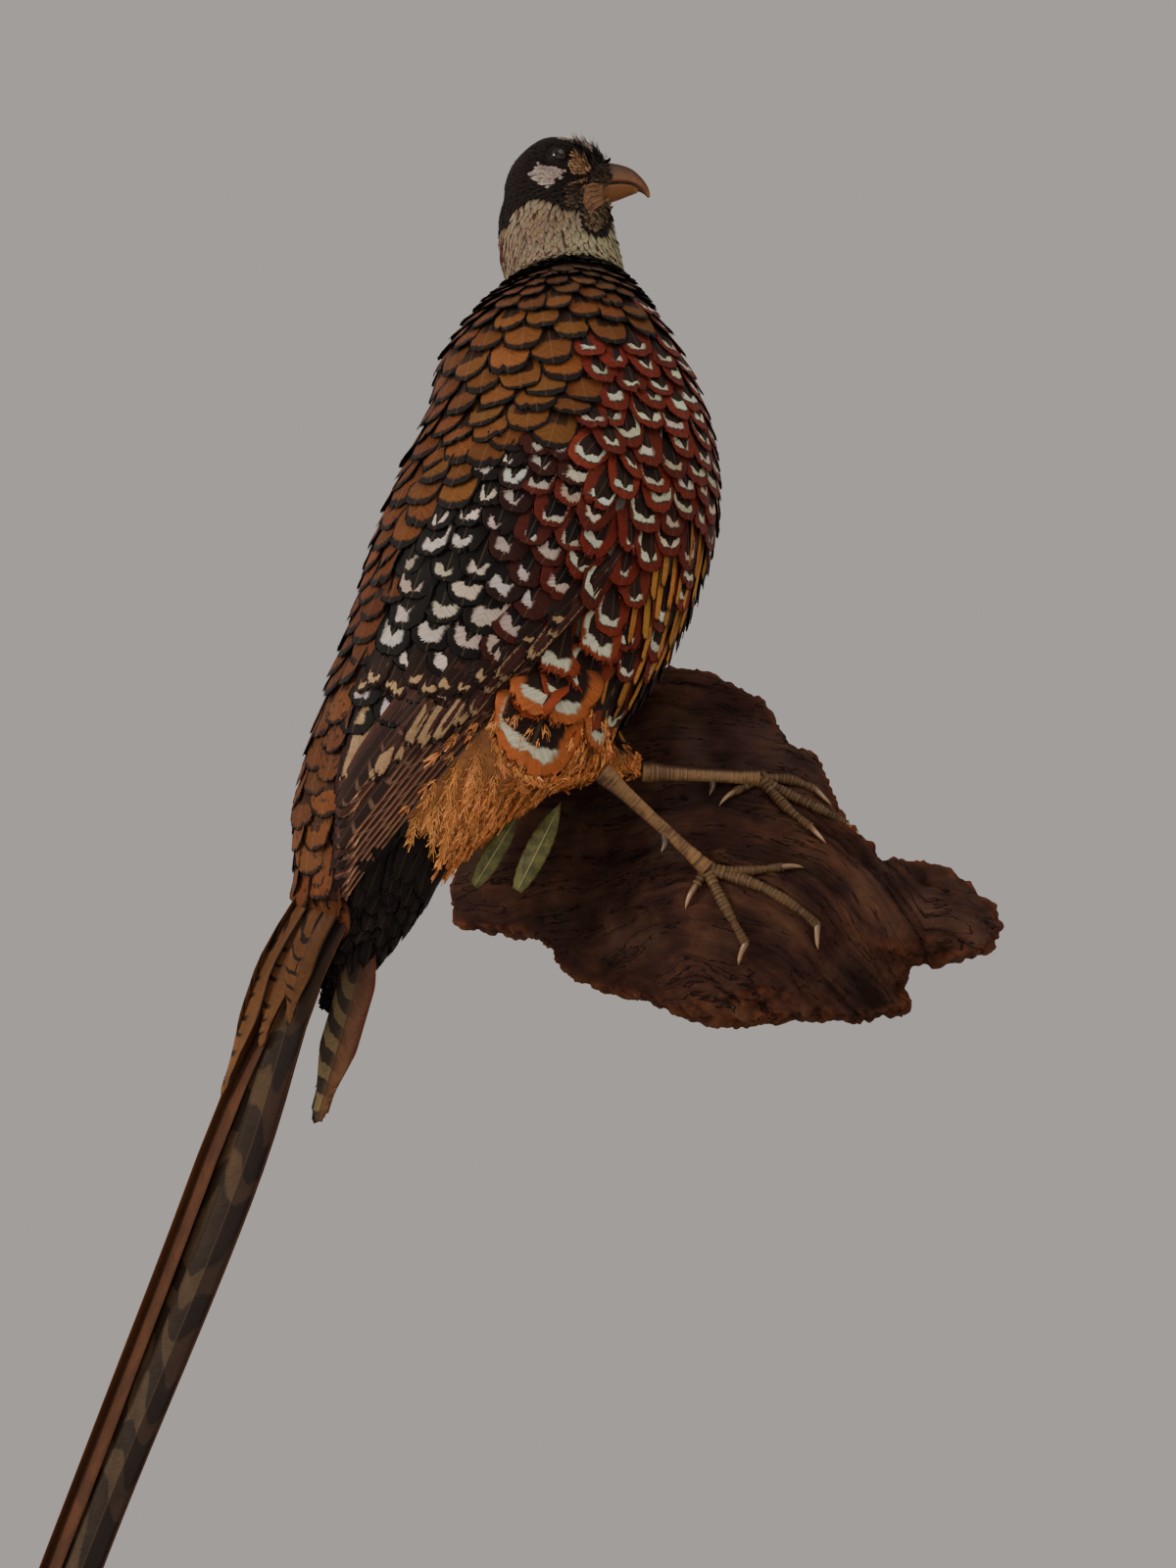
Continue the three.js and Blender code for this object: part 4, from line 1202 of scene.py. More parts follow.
def wingCoverts(side):
    # greater coverts: purple-brown with a long cream tip; over them a row with small spots
    rng = np.random.default_rng(41 + side)
    feathers = []
    for k, angle in enumerate(np.arange(41, 110, 4.4)):
        tipF = np.interp(angle, *covertTips) + rng.uniform(-4, 4)
        slant = np.interp(angle, [42, 60, 90, 110], [1, 9, 17, 12])
        path = [(tipF + 58, angle + slant), (tipF + 30, angle + slant * 0.5), (tipF, angle)]
        pale = np.interp(angle, [42, 62, 76, 92], [27, 24, 11, 4]) * rng.uniform(0.8, 1.2)
        feathers.append(dict(
            track=roundTrack(side, path), half=4.6, depth=2.4, lift=0.9 + 0.08 * k,
            fringeTint=purple * 0.5, bandTint=cream * rng.uniform(0.7, 1.0), baseTint=purple,
            bands=(0.9, pale, -2), cut=(0.4 * pale, 8, rng.uniform(0.45, 0.85))))
    for angle in np.arange(43, 108, 5.2):
        tipF = np.interp(angle, *spotTips) + rng.uniform(-4, 4)
        slant = np.interp(angle, [42, 90, 110], [1, 10, 8])
        path = [(tipF + 30, angle + slant), (tipF + 15, angle + slant * 0.5), (tipF, angle)]
        feathers.append(dict(
            track=roundTrack(side, path), half=7.0, depth=2.0,
            lift=1.6 + rng.uniform(0, 0.5), fringeTint=umber, bandTint=cream, baseTint=umber,
            bands=(2.2, 6.5, 0), cut=(2, 4, rng.uniform(0.25, 0.5))))
    return feathers


# wide barred feathers over the thigh: station and angle of the tip, and half width
scallops = [(-123, 119, 25), (-100, 121, 25), (-78, 132, 14), (-76, 117, 14), (-60, 127, 12), (-100, 148, 16)]


def flankScallops(side):
    feathers = []
    for k, (tipF, angle, half) in enumerate(scallops):
        back = 46 if half > 15 else 30
        path = [(tipF + back, angle - 3), (tipF + back / 2, angle - 2), (tipF, angle)]
        feathers.append(dict(
            track=roundTrack(side, path), half=half, depth=3.5, lift=3.0 + 0.25 * k,
            fringeTint=linear(158, 84, 42) if half > 15 else chestnut, bandTint=white, baseTint=umber,
            bands=(half * 0.24, half * 0.24 + 6.5, -3.0), cut=(2.0, 4.5, 0.68)))
    return feathers


covertForm = dict(vaneForm, bend=60.0, rise=0.8, round=0.9, ragged=0.8, teeth=1.6)
scallopForm = dict(vaneForm, bend=70.0, rise=0.8, round=0.5, ragged=1.0, teeth=2.2, splits=1.0)
sides = ((-1, "right"), (1, "left"))
for side, word in sides:
    layQuills("flight_" + word, wingQuills(side), "long", longForm, 300 + side)
    layQuills("greater_coverts_" + word, wingCoverts(side), "broad", covertForm,
              310 + side, plumage)
    layQuills("flank_scallops_" + word, flankScallops(side), "wide", scallopForm,
              320 + side, plumage)


tailCopy = mergedCopy(["tail"], "tailForm")
tailSurface = Surface(tailCopy)
tailPlan = {
    "root": -206, "tip": -1212,
    "stations": [-212, -262, -342, -442, -542, -712, -912, -1082, -1172, -1212],
    "halfWidth": [15, 20, 23, 22, 21, 20, 17, 12, 7, 2.4],
    # for each feather on a side: place across, reach along and level
    "feathers": [(0.2, 0.985, 0.0), (0.44, 0.93, -0.6), (0.64, 0.78, -1.2), (0.78, 0.55, -1.8)],
    # place across, station of the tip and half width
    "coverts": [(4.0, -336, 9.5), (10.5, -306, 9.0), (16.5, -290, 8.0)],
}


def tailTrack(start, end, offset, steps=26):
    fs = np.linspace(start, end, 30)
    ls = offset * np.interp(-fs, -np.array(tailPlan["stations"]), tailPlan["halfWidth"])
    return trackThrough(tailSurface.fromAbove, np.stack([fs, ls], 1), steps)


def tailQuills():
    cinnamon, silver, dusk = linear(82, 46, 24), linear(72, 59, 43), linear(46, 34, 27)
    feathers = []
    for side in (-1, 1):
        for k, (offset, reach, level) in enumerate(tailPlan["feathers"]):
            end = tailPlan["root"] + (tailPlan["tip"] - tailPlan["root"]) * reach
            inner, outward = np.array([linear(70, 50, 32), silver]), np.array([linear(52, 34, 24), dusk])
            if k == 0:  # the middle pair is cinnamon on both sides
                inner = np.array([linear(88, 50, 25), cinnamon])
                outward = np.array([linear(80, 46, 25), cinnamon * 0.9])
            left, right = (inner, outward) if side < 0 else (outward, inner)
            feathers.append(dict(
                track=tailTrack(tailPlan["root"] + 16, end, side * offset), half=10.5 - 0.4 * k,
                depth=1.6 - level * 0.5, lift=level + 0.4, leftTint=left, rightTint=right,
                barTint=linear(26, 17, 14), edgeTint=linear(96, 58, 40),
                bands=(36 + 7 * k, 0.5, 0.2 if k == 0 else 1.4),
                cut=(-side * (1.0 if k == 0 else 0.03), 0.08 * -side, 0.55)))
    return feathers


def tailCoverts():
    # long buff feathers over the root of the tail, black down one edge and blotched with black
    feathers = []
    for side in (-1, 1):
        for k, (offset, end, half) in enumerate(tailPlan["coverts"]):
            fs = np.linspace(-204, end, 12)
            ls = side * offset * np.interp(fs, [-300, -212], [1.1, 0.7])
            tint = np.array([linear(84, 50, 27), linear(112, 72, 38)]) * (1 - 0.12 * k)
            feathers.append(dict(
                track=trackThrough(tailSurface.fromAbove, np.stack([fs, ls], 1), 14),
                half=half, depth=-0.5, lift=3.2 - 0.8 * k, leftTint=tint, rightTint=tint * 0.85, barTint=jet,
                edgeTint=jet, bands=(27, 0.2, 0.9), cut=(side * 1.0, 0.2 * -side, 0.4)))
    return feathers


tailForm = dict(longForm, root=0.9, widest=0.08, taper=0.45, bend=60.0, ragged=0.5, teeth=1.6)
tailCovertForm = dict(longForm, root=0.8, widest=0.3, taper=0.75, round=2.6, bend=110.0, curl=0.0, twist=0.0,
                      ragged=0.9, teeth=1.4)
tailPiece = layQuills("tail_feathers", tailQuills()[::-1], "ribbon", tailForm, 400)
layQuills("tail_coverts", tailCoverts()[::-1], "long", tailCovertForm, 410)
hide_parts("tail")
bpy.data.objects.remove(tailCopy)


def smoothPath(points, count):
    # even steps along a rounded line through the points
    points = np.asarray(points, float)
    padded = np.concatenate([[2 * points[0] - points[1]], points, [2 * points[-1] - points[-2]]])
    t = np.linspace(0, len(points) - 1, 14 * len(points))
    k = np.minimum(t.astype(int), len(points) - 2)
    s = (t - k)[:, None]
    a, b, c, d = (padded[k + j] for j in range(4))
    curve = b + 0.5 * ((c - a) * s + (2 * a - 5 * b + 4 * c - d) * s ** 2 + (3 * b - a - 3 * c + d) * s ** 3)
    along = distanceAlong(curve)
    even = np.linspace(0, along[-1], count)
    return np.stack([np.interp(even, along, curve[:, j]) for j in range(curve.shape[1])], 1)


def loftRings(rings, marks):
    # rings (n, m, 3) closed into one skin with a fan at both ends; marks: a vector for each vertex
    count, size = rings.shape[:2]
    grid = ringGrid(count, size)
    quads = gridFaces(grid)
    ends = np.array([rings[0].mean(0), rings[-1].mean(0)])
    first, last = count * size, count * size + 1
    fans = np.concatenate([
        np.stack([np.full(size, first), grid[0, 1:], grid[0, :-1]], 1),
        np.stack([np.full(size, last), grid[-1, :-1], grid[-1, 1:]], 1)])
    places = np.concatenate([rings.reshape(-1, 3), ends])
    endMarks = np.array([marks[0].mean(0), marks[-1].mean(0)])
    allMarks = np.concatenate([marks.reshape(-1, 3), endMarks])
    return {"places": places, "quads": quads, "tris": fans, "marks": allMarks}


def sweepTube(path, width, height, up, columns, relief=None):
    # path in metres, width, height and relief in mm; marks hold cos, sin and mm along
    tangent = unit(np.gradient(path, axis=0))
    aside = unit(np.cross(tangent, np.broadcast_to(up, path.shape)))
    above = np.cross(aside, tangent)
    turn = np.linspace(0, 2 * math.pi, columns, endpoint=False)[None, :]
    extra = 0 if relief is None else relief
    x = np.cos(turn) * (np.asarray(width)[:, None] + extra) / 1000
    y = np.sin(turn) * (np.asarray(height)[:, None] + extra) / 1000
    rings = path[:, None] + aside[:, None] * x[..., None] + above[:, None] * y[..., None]
    along = distanceAlong(path) * 1000
    marks = np.stack(np.broadcast_arrays(np.cos(turn), np.sin(turn), along[:, None]), -1)
    return loftRings(rings, marks)


def joinParts(name, parts, material, slot, replaced=()):
    places = np.concatenate([part["places"] for part in parts])
    starts = np.cumsum([0] + [len(part["places"]) for part in parts[:-1]])
    faces = [np.concatenate([part[kind] + start for part, start in zip(parts, starts)])
             for kind in ("quads", "tris")]
    tints = [np.broadcast_to(part.get("tint", np.ones(3)), part["places"].shape) for part in parts]
    thing = meshFrom(name, places, faces)
    addVector(thing, "marks", np.concatenate([part["marks"] for part in parts]))
    addTint(thing, "tint", np.concatenate(tints))
    mesh = bmesh.new()
    mesh.from_mesh(thing.data)
    bmesh.ops.recalc_face_normals(mesh, faces=mesh.faces)
    mesh.to_mesh(thing.data)
    mesh.free()
    finishPiece(thing, material, slot, *replaced)
    print(name, "made")
    return thing


billPlan = {
    "rings": 44, "nostrilLid": (0.2, 0.36), "nostrilSlit": (0.22, 0.62),
    "upper": [[228.5, 50, 208, 51, 6.8], [231.4, 39, 217.4, 39.5, 5.7], [231.6, 32, 222.0, 30.5, 4.4],
              [228.8, 24.5, 222.6, 23.6, 3], [225, 19.4, 221.8, 20.6, 1.9], [221.2, 17, 220.2, 18, 0.7]],
    "lower": [[207.6, 50, 201, 47, 6.2], [216.6, 38.6, 208.4, 36.0, 5.0], [221.2, 29.6, 216.2, 28.4, 3.4],
              [221.8, 25.2, 220.2, 24.6, 1.3]],
    "upperSection": [[0, 0], [0.01, 0.16], [0.05, 0.32], [0.13, 0.5], [0.26, 0.66], [0.42, 0.8], [0.6, 0.91],
                     [0.76, 0.98], [0.9, 1.02], [0.98, 1.0], [1.0, 0.9], [0.95, 0.76], [0.9, 0.5],
                     [0.89, 0.25], [0.89, 0]],
    "lowerSection": [[0.1, 0], [0.09, 0.4], [0.07, 0.7], [0.0, 0.84], [0.0, 0.94], [0.06, 1.0], [0.2, 0.99],
                     [0.38, 0.93], [0.55, 0.84], [0.72, 0.68], [0.86, 0.48], [0.96, 0.25], [1.0, 0]],
}


def billHalf(stations, section, nostril):
    lines = smoothPath(np.array(stations, float), billPlan["rings"])
    half = np.array(section, float)
    loop = np.concatenate([half, half[-2:0:-1] * [1, -1]])
    t, w = loop[:, 0][None, :], loop[:, 1][None, :]
    share = np.linspace(0, 1, len(lines))[:, None]
    f = lines[:, 0:1] * (1 - t) + lines[:, 2:3] * t
    d = lines[:, 1:2] * (1 - t) + lines[:, 3:4] * t
    l = lines[:, 4:5] * w
    if nostril:
        # a swollen lid over each nostril and a slit below it
        (lidShare, lidLevel), (slitShare, slitLevel) = billPlan["nostrilLid"], billPlan["nostrilSlit"]
        lid = np.exp(-((share - lidShare) / 0.085) ** 2 - ((t - lidLevel) / 0.17) ** 2)
        slit = np.exp(-((share - slitShare) / 0.07) ** 2 - ((t - slitLevel) / 0.06) ** 2)
        l = l + np.sign(w) * (0.9 * lid - 1.0 * slit) * (t < 0.85)
        f = f + 0.25 * lid
    # growth ridges
    l = l * (1 + 0.012 * np.sin(share * 55 + t * 5))
    rings = toWorld(np.stack([f, l, d], -1).reshape(-1, 3)).reshape(f.shape + (3,))
    marks = np.stack([np.broadcast_to(share, f.shape), np.broadcast_to(t, f.shape),
                      np.full(f.shape, 1.0 if nostril else 0.0)], -1)
    return loftRings(rings, marks)


def billMaterial():
    n = Nodes("bill horn", 0.42, Coat_Weight=0.06, Coat_Roughness=0.3, Specular_IOR_Level=0.25)
    share, level, upper = n.vector("marks")
    place = n.place()
    cloud = n.noise(place, 160, 4.0, 0.6)
    colour = n.mix(n.ramp(level, 0.15, 0.8), linear(70, 40, 17), linear(112, 66, 27))
    colour = n.lay(colour, linear(118, 72, 31), n.minus(1, upper), 0.8)
    base = n.times(n.fall(n.plus(share, n.times(cloud, 0.25)), 0.2, 0.5),
                  n.ramp(level, 0.35, 0.85, 1.0, 0.1))
    colour = n.lay(colour, linear(50, 38, 28), n.times(base, upper), 0.9)
    tip = n.ramp(share, 0.86, 1.0)
    colour = n.lay(colour, linear(150, 112, 70), tip, 0.6)
    edge = n.times(n.ramp(level, 0.8, 0.96), upper)
    colour = n.lay(colour, linear(110, 62, 34), edge, 0.7)
    lines = n.noise(n.join(n.times(share, 5), n.times(level, 42), upper), 1.0, 3.0, 0.6)
    tone = n.ramp(lines, 0.25, 0.75, 0.72, 1.18)
    colour = n.darken(colour, tone)
    # painted shade: the nostril slit is painted near black for the shade inside the opening
    slitShare, slitLevel = billPlan["nostrilSlit"]
    slit = n.times(n.fall(n.absolute(n.minus(share, slitShare)), 0.03, 0.08),
                   n.fall(n.absolute(n.minus(level, slitLevel)), 0.02, 0.07))
    colour = n.lay(colour, (0.008, 0.005, 0.004), slit, upper)
    n.bump(n.plus(lines, n.times(cloud, 0.6)), 0.3, 0.0004)
    return n.finish(colour, n.ramp(cloud, 0.3, 0.7, 0.32, 0.5))


horn = billMaterial()
for half in ("upper", "lower"):
    part = billHalf(billPlan[half], billPlan[half + "Section"], half == "upper")
    joinParts("beak_" + half, [part], horn, "horn", ["bill_" + half])


def eyeMaterial():
    n = Nodes("glass eye", 0.1, Coat_Weight=0.2, Coat_Roughness=0.03, Specular_IOR_Level=0.3)
    across, up, out = n.vector("marks")
    radius = n.math("SQRT", n.plus(n.times(across, across), n.times(up, up)))
    turn = n.math("ARCTAN2", up, across)
    fibre = n.noise(n.join(n.times(turn, 9), n.times(radius, 3), 0), 1.0, 3.0, 0.6)
    iris = n.mix(fibre, linear(26, 15, 10), linear(50, 28, 16))
    iris = n.mix(n.ramp(radius, 0.66, 0.82), iris, linear(12, 8, 7))
    colour = n.mix(n.ramp(radius, 0.38, 0.42), (0.002, 0.002, 0.002), iris)
    return n.finish(colour)


def lidMaterial():
    n = Nodes("lid skin", 0.65, Specular_IOR_Level=0.15)
    folds = n.noise(n.place(), 900, 3.0, 0.6)
    colour = n.mix(n.ramp(folds, 0.3, 0.7), n.tint("tint"), linear(20, 14, 13))
    n.bump(folds, 0.5, 0.0005)
    return n.finish(colour)


eyeGlass, lidSkin = eyeMaterial(), lidMaterial()
lidPlan = {
    "width": 4.9, "upper": 3.0, "lower": 3.1, "outer": 7.6, "columns": 72, "tilt": 8.0,
    # rings over the ball: share of the opening and rise off the glass
    "rings": [(0.96, -0.25), (0.985, 0.3), (1.03, 0.62), (1.1, 0.72), (1.2, 0.5), (1.3, 0.62)],
    "overHead": [(0.35, 0.3), (0.7, -0.1), (1.0, -1.2)],  # rings on the head: share of the way out and lift
}


def makeEye(side, word):
    centre = toWorld([eye["forward"], side * eye["spread"], eye["dorsal"]])
    outward = turnToWorld([0, side, 0])
    ahead, crown = turnToWorld([0, 0, -1]), turnToWorld([1, 0, 0])
    radius = eye["radius"] / 1000
    bpy.ops.mesh.primitive_uv_sphere_add(segments=44, ring_count=26, radius=radius, calc_uvs=False)
    ball = bpy.context.active_object
    ball.name = "eyeball_" + word
    local = vertexPlaces(ball) * 1000 / eye["radius"]
    # the clear front bulges a little
    swell = 1 + 0.05 * smoothStep(0.6, 1.0, local[:, 2])
    spots = local * swell[:, None] * eye["radius"] / 1000
    setPlaces(ball, centre + spots[:, :1] * ahead + spots[:, 1:2] * crown + spots[:, 2:3] * outward)
    if side > 0:
        ball.data.flip_normals()
    addVector(ball, "marks", local)
    shadeSmooth(ball)
    finishPiece(ball, eyeGlass, "glass_eye", "eye_" + word)
    # lids: rings from under the almond opening out to the skin of the head
    turn = np.linspace(0, 2 * math.pi, lidPlan["columns"], endpoint=False)
    c, s = np.cos(turn), np.sin(turn)
    tall = np.where(s > 0, lidPlan["upper"], lidPlan["lower"])
    x = lidPlan["width"] * np.sign(c) * np.abs(c) ** 0.9
    y = tall * s * np.abs(s) ** 0.25
    tilt = math.radians(lidPlan["tilt"])
    x, y = x * math.cos(tilt) - y * math.sin(tilt), x * math.sin(tilt) + y * math.cos(tilt)
    rings, rng = [], np.random.default_rng(31)
    crease = 0.12 * np.sin(turn * 23 + rng.uniform(0, 6)) + 0.1 * np.sin(turn * 37)
    reach = np.hypot(x, y)
    for step, (share, rise) in enumerate(lidPlan["rings"]):
        px, py = x * share, y * share
        flat = np.hypot(px, py)
        out = np.sqrt(np.maximum(eye["radius"] ** 2 - np.minimum(flat, eye["radius"] - 0.4) ** 2, 0)) + rise
        out = out + crease * (step > 2)
        rings.append(centre + (px[:, None] * ahead + py[:, None] * crown + out[:, None] * outward) / 1000)
    for share, lift in lidPlan["overHead"]:
        radius = reach * 1.3 + (lidPlan["outer"] - reach * 1.3) * share
        spots = []
        for i in range(len(turn)):
            px, py = x[i] / reach[i] * radius[i], y[i] / reach[i] * radius[i]
            hit, _ = outer.fromSide(eye["forward"] + py, eye["dorsal"] - px, side)
            spots.append(np.array(hit) + outward * (lift + crease[i] * 0.7) / 1000)
        rings.append(np.array(spots))
    rings = np.array(rings)
    marks = np.zeros(rings.shape)
    quads = gridFaces(ringGrid(*rings.shape[:2]))
    tint = np.repeat(np.array([linear(26, 17, 14)] * 4 + [linear(32, 20, 17)] * 5), rings.shape[1], axis=0)
    lid = {"places": rings.reshape(-1, 3), "quads": quads, "tris": noTriangles,
           "marks": marks.reshape(-1, 3), "tint": tint}
    thing = joinParts("lids_" + word, [lid], lidSkin, "head_feathers")
    applyModifier(thing, "SOLIDIFY", thickness=0.0003, offset=-1.0)


for side, word in sides:
    makeEye(side, word)


gapeFolds = [  # dorsal and forward places of each fold, and its half width
    ([(42.6, 213.6), (46.5, 209.6), (50.5, 205.6), (52.2, 202.2)], 1.0),
    ([(41.5, 210.5), (45.5, 206.5), (49.5, 201.0), (50.5, 196.0)], 0.9),
    ([(41.0, 207.5), (44.5, 202.5), (47.6, 197.0), (48.4, 190.5)], 1.0),
    ([(40.0, 204.0), (42.8, 198.5), (45.2, 193.0), (45.8, 187.0)], 0.85),
    ([(39.2, 200.5), (41.0, 195.0), (42.6, 190.0), (43.0, 184.5)], 0.9),
    ([(52.6, 205.8), (53.6, 199.5), (52.6, 194.0)], 0.7),
]


def foldMaterial():
    n = Nodes("bare skin", 0.5, Specular_IOR_Level=0.45, Subsurface_Weight=0.08, Subsurface_Scale=0.002)
    pores = n.noise(n.place(), 1100, 3.0, 0.65)
    cloud = n.noise(n.place(), 260, 3.0, 0.6)
    colour = n.mix(n.ramp(cloud, 0.3, 0.7), linear(88, 52, 28), linear(140, 96, 56))
    colour = n.mix(n.ramp(pores, 0.55, 0.75), colour, linear(62, 36, 24))
    n.bump(pores, 0.6, 0.0005)
    return n.finish(colour)


def makeGape():
    parts = []
    for side in (-1, 1):
        for k, (line, half) in enumerate(gapeFolds):
            spots, ups, _ = trackThrough(lambda d, f: outer.fromSide(f, d, side), line, 18)
            share = np.linspace(0, 1, len(spots))
            width = half * np.sin(np.clip(share * math.pi, 0.05, 3.05)) ** 0.5
            wobble = 0.12 * np.sin(share[:, None] * 31 + np.arange(10)[None] * 1.3 + k)
            path = spots - ups * 0.9 / 1000
            parts.append(sweepTube(path, width, width * 1.0, ups.mean(0), 10, wobble))
    joinParts("gape_folds", parts, foldMaterial(), "horn")


makeGape()


slabPlan = {"voxel": 0.0018, "smoothing": 6, "grain": 2.6, "fold": 4.6, "rag": 3.4, "swirl": 8.0,
            "angle": -0.86, "bend": 0.009, "lump": 1.6, "groove": 6.0}


def makeSlab():
    board = mergedCopy(["slab"], "board")
    applyModifier(board, "REMESH", mode="VOXEL", voxel_size=slabPlan["voxel"])
    applyModifier(board, "SMOOTH", factor=0.5, iterations=slabPlan["smoothing"])
    places, normals = vertexPlaces(board) * 1000, vertexNormals(board)
    back = smoothStep(-1.5, -6, places[:, 1])
    facing = np.abs(normals[:, 1])
    rim = smoothStep(0.85, 0.35, facing)
    marks = np.empty_like(places)
    shift = np.empty(len(places))
    rag = np.empty(len(places))
    for i, (x, y, z) in enumerate(places):
        swirl = noise.noise((x / 70, z / 70, 3.1)) * slabPlan["swirl"]
        swirl += noise.noise((x / 24, z / 24, 7.7)) * 4
        # the grain sweeps down into the lobe at the far end
        along = x * math.cos(slabPlan["angle"]) + z * math.sin(slabPlan["angle"])
        across = -x * math.sin(slabPlan["angle"]) + z * math.cos(slabPlan["angle"]) + swirl + y * 0.35
        across += slabPlan["bend"] * min(max(along - 50, 0), 90) ** 2
        wild = 0.45 + 0.55 * min(max((along - 45) / 45, 0), 1)
        marks[i] = along, across, y
        fine = noise.noise((along / 34, across / 2.6, y / 30))
        groove = 1 - abs(noise.noise((along / 60, across / 9.5, y / 60 + 5))) * 2.4
        fold = noise.noise((along / 45, across / 17, 11.0))
        lump = noise.noise((x / 22, y / 22, z / 22)) + 0.5 * noise.noise((x / 9, y / 9, z / 9))
        shift[i] = fine * slabPlan["grain"] * 0.5 + lump * slabPlan["lump"]
        shift[i] += (fold * slabPlan["fold"] - max(groove - 0.6, 0) ** 1.5 * slabPlan["groove"]) * wild
        rag[i] = noise.noise((x / 7.5, y / 9, z / 7.5)) + 0.6 * noise.noise((x / 3.2, y / 4, z / 3.2))
    shift = np.clip(shift, -5.5, 2.6) * (1 - rim * 0.4) + rim * np.clip(rag * slabPlan["rag"], -4.2, 2.2)
    moved = places + normals * (shift * back)[:, None]
    moved[:, 1] = np.minimum(moved[:, 1], 0)
    setPlaces(board, moved / 1000)
    addVector(board, "marks", marks)
    # rusty along the rim, painted shade in the hollows where the surface was pushed in, and lighter where it
    # was pushed out
    edge = np.stack([rim, np.clip(-shift / 3, 0, 1), np.clip(shift / 3, 0, 1)], 1)
    addTint(board, "rustAndHollowShade", edge)
    board.name = "wood_slab"
    shadeSmooth(board)
    finishPiece(board, woodMaterial(), "wood", "slab")
    print("slab made:", len(board.data.polygons), "faces")
    return board


def woodMaterial():
    n = Nodes("weathered wood", 0.8, Specular_IOR_Level=0.14)
    along, across, depth = n.vector("marks")
    rustAndHollowShade = n.split(n.tint("rustAndHollowShade"))
    place = n.place()

    def grain(alongScale, acrossScale, depthScale, detail, rough):
        spot = n.join(n.times(along, alongScale), n.times(across, acrossScale), n.times(depth, depthScale))
        return n.noise(spot, 1.0, detail, rough)

    cloud = n.noise(place, 26, 4.0, 0.6)
    patch = n.noise(place, 75, 4.0, 0.65)
    fine = grain(0.06, 1.3, 0.3, 6.0, 0.75)
    band = grain(0.03, 0.16, 0.1, 5.0, 0.7)
    dusty = n.noise(place, 14, 3.0, 0.5)
    colour = n.mix(n.ramp(band, 0.3, 0.7), linear(54, 31, 28), linear(70, 42, 34))
    colour = n.lay(colour, linear(70, 53, 38), n.ramp(cloud, 0.42, 0.68), 0.75)
    colour = n.lay(colour, linear(80, 58, 56), n.ramp(dusty, 0.5, 0.66), 0.6)
    colour = n.lay(colour, linear(94, 58, 42), n.ramp(patch, 0.48, 0.72), 0.5)
    colour = n.lay(colour, linear(38, 20, 17), n.ramp(fine, 0.52, 0.7), 0.42)
    colour = n.lay(colour, linear(132, 98, 76), n.ramp(fine, 0.44, 0.28), 0.25)
    rusty = n.times(rustAndHollowShade[0], n.ramp(patch, 0.3, 0.6))
    colour = n.lay(colour, linear(118, 62, 32), rusty, 0.6)
    # painted shade: the hollows of the surface are darkened, and the raised parts are a little lighter
    colour = n.lay(colour, linear(26, 13, 11), rustAndHollowShade[1], 0.75)
    colour = n.lay(colour, linear(134, 90, 62), rustAndHollowShade[2], 0.3)
    # painted shade: thin near-black cracks along the grain, with only a bump under them and no depth
    seam = grain(0.012, 0.1, 0.04, 4.0, 0.55)
    crack = n.fall(n.absolute(n.minus(seam, 0.47)), 0.003, 0.012)
    colour = n.lay(colour, linear(18, 10, 9), crack, 0.8)
    grit = n.noise(place, 900, 2.0, 0.6)
    rough = n.plus(n.times(grit, 0.7), n.times(patch, 2.5))
    rough = n.minus(rough, n.times(crack, 2.0))
    n.bump(n.plus(n.times(fine, 2.4), n.plus(rough, band)), 0.8, 0.0012)
    return n.finish(colour, n.ramp(fine, 0.3, 0.7, 0.82, 0.98))


slabPiece = makeSlab()
slabSurface = Surface(slabPiece)


def slabSpot(x, z, lift):
    # a place in mm on the slab's face, lifted off it
    hit, _, _, _ = slabSurface.tree.ray_cast(Vector((x / 1000, -0.5, z / 1000)), Vector((0, 1, 0)))
    y = hit[1] if hit else -0.02
    return np.array([x / 1000, y - lift / 1000, z / 1000])


legPlan = {
    "depth": 4.9, "toe": 3.1, "claw": 13.0, "scute": 3.4, "toeScute": 2.7,
    "scuteRise": [0.1, 0.1, 0.16, 0.42],
    "shankStations": [0, 0.08, 0.2, 0.5, 0.8, 0.93, 1],
    "shankWidth": [4.9, 5.2, 3.9, 3.2, 3.3, 4.1, 4.6], "shankDepth": [6.0, 6.4, 5.1, 4.4, 4.4, 4.9, 4.6],
    "clawStations": [0, 0.3, 0.7, 1],
    "clawWidth": [1.9, 1.55, 0.95, 0.12], "clawDepth": [2.1, 1.8, 1.15, 0.14],
}
legs = {
    "right": {"side": -1, "ankle": (-105, -21, -79), "foot": (15.5, -21), "spur": 0.62, "toes": {
        "inner": ([(7.5, -44.5), (0.5, -64.5)], (-13.5, -68)),
        "middle": ([(28, -48.5), (33.5, -72), (34, -84)], (25.5, -91)),
        "outer": ([(27.5, -36), (44.5, -47.5)], (54.5, -55)),
        "hind": ([(4, -24.5)], (-7, -28))}},
    "left": {"side": 1, "ankle": (-89, 19, -104), "foot": (74, 5.5), "spur": 0.6, "toes": {
        "inner": ([(85.5, -5.5), (91.5, -19)], (91, -34)),
        "middle": ([(79, -14), (84.5, -32), (88.5, -45.5)], (88.5, -64.5)),
        "outer": ([(72, -19.5), (72.5, -38)], (71.5, -50)),
        "hind": ([(58, 8)], (42.5, 6.5))}},
}


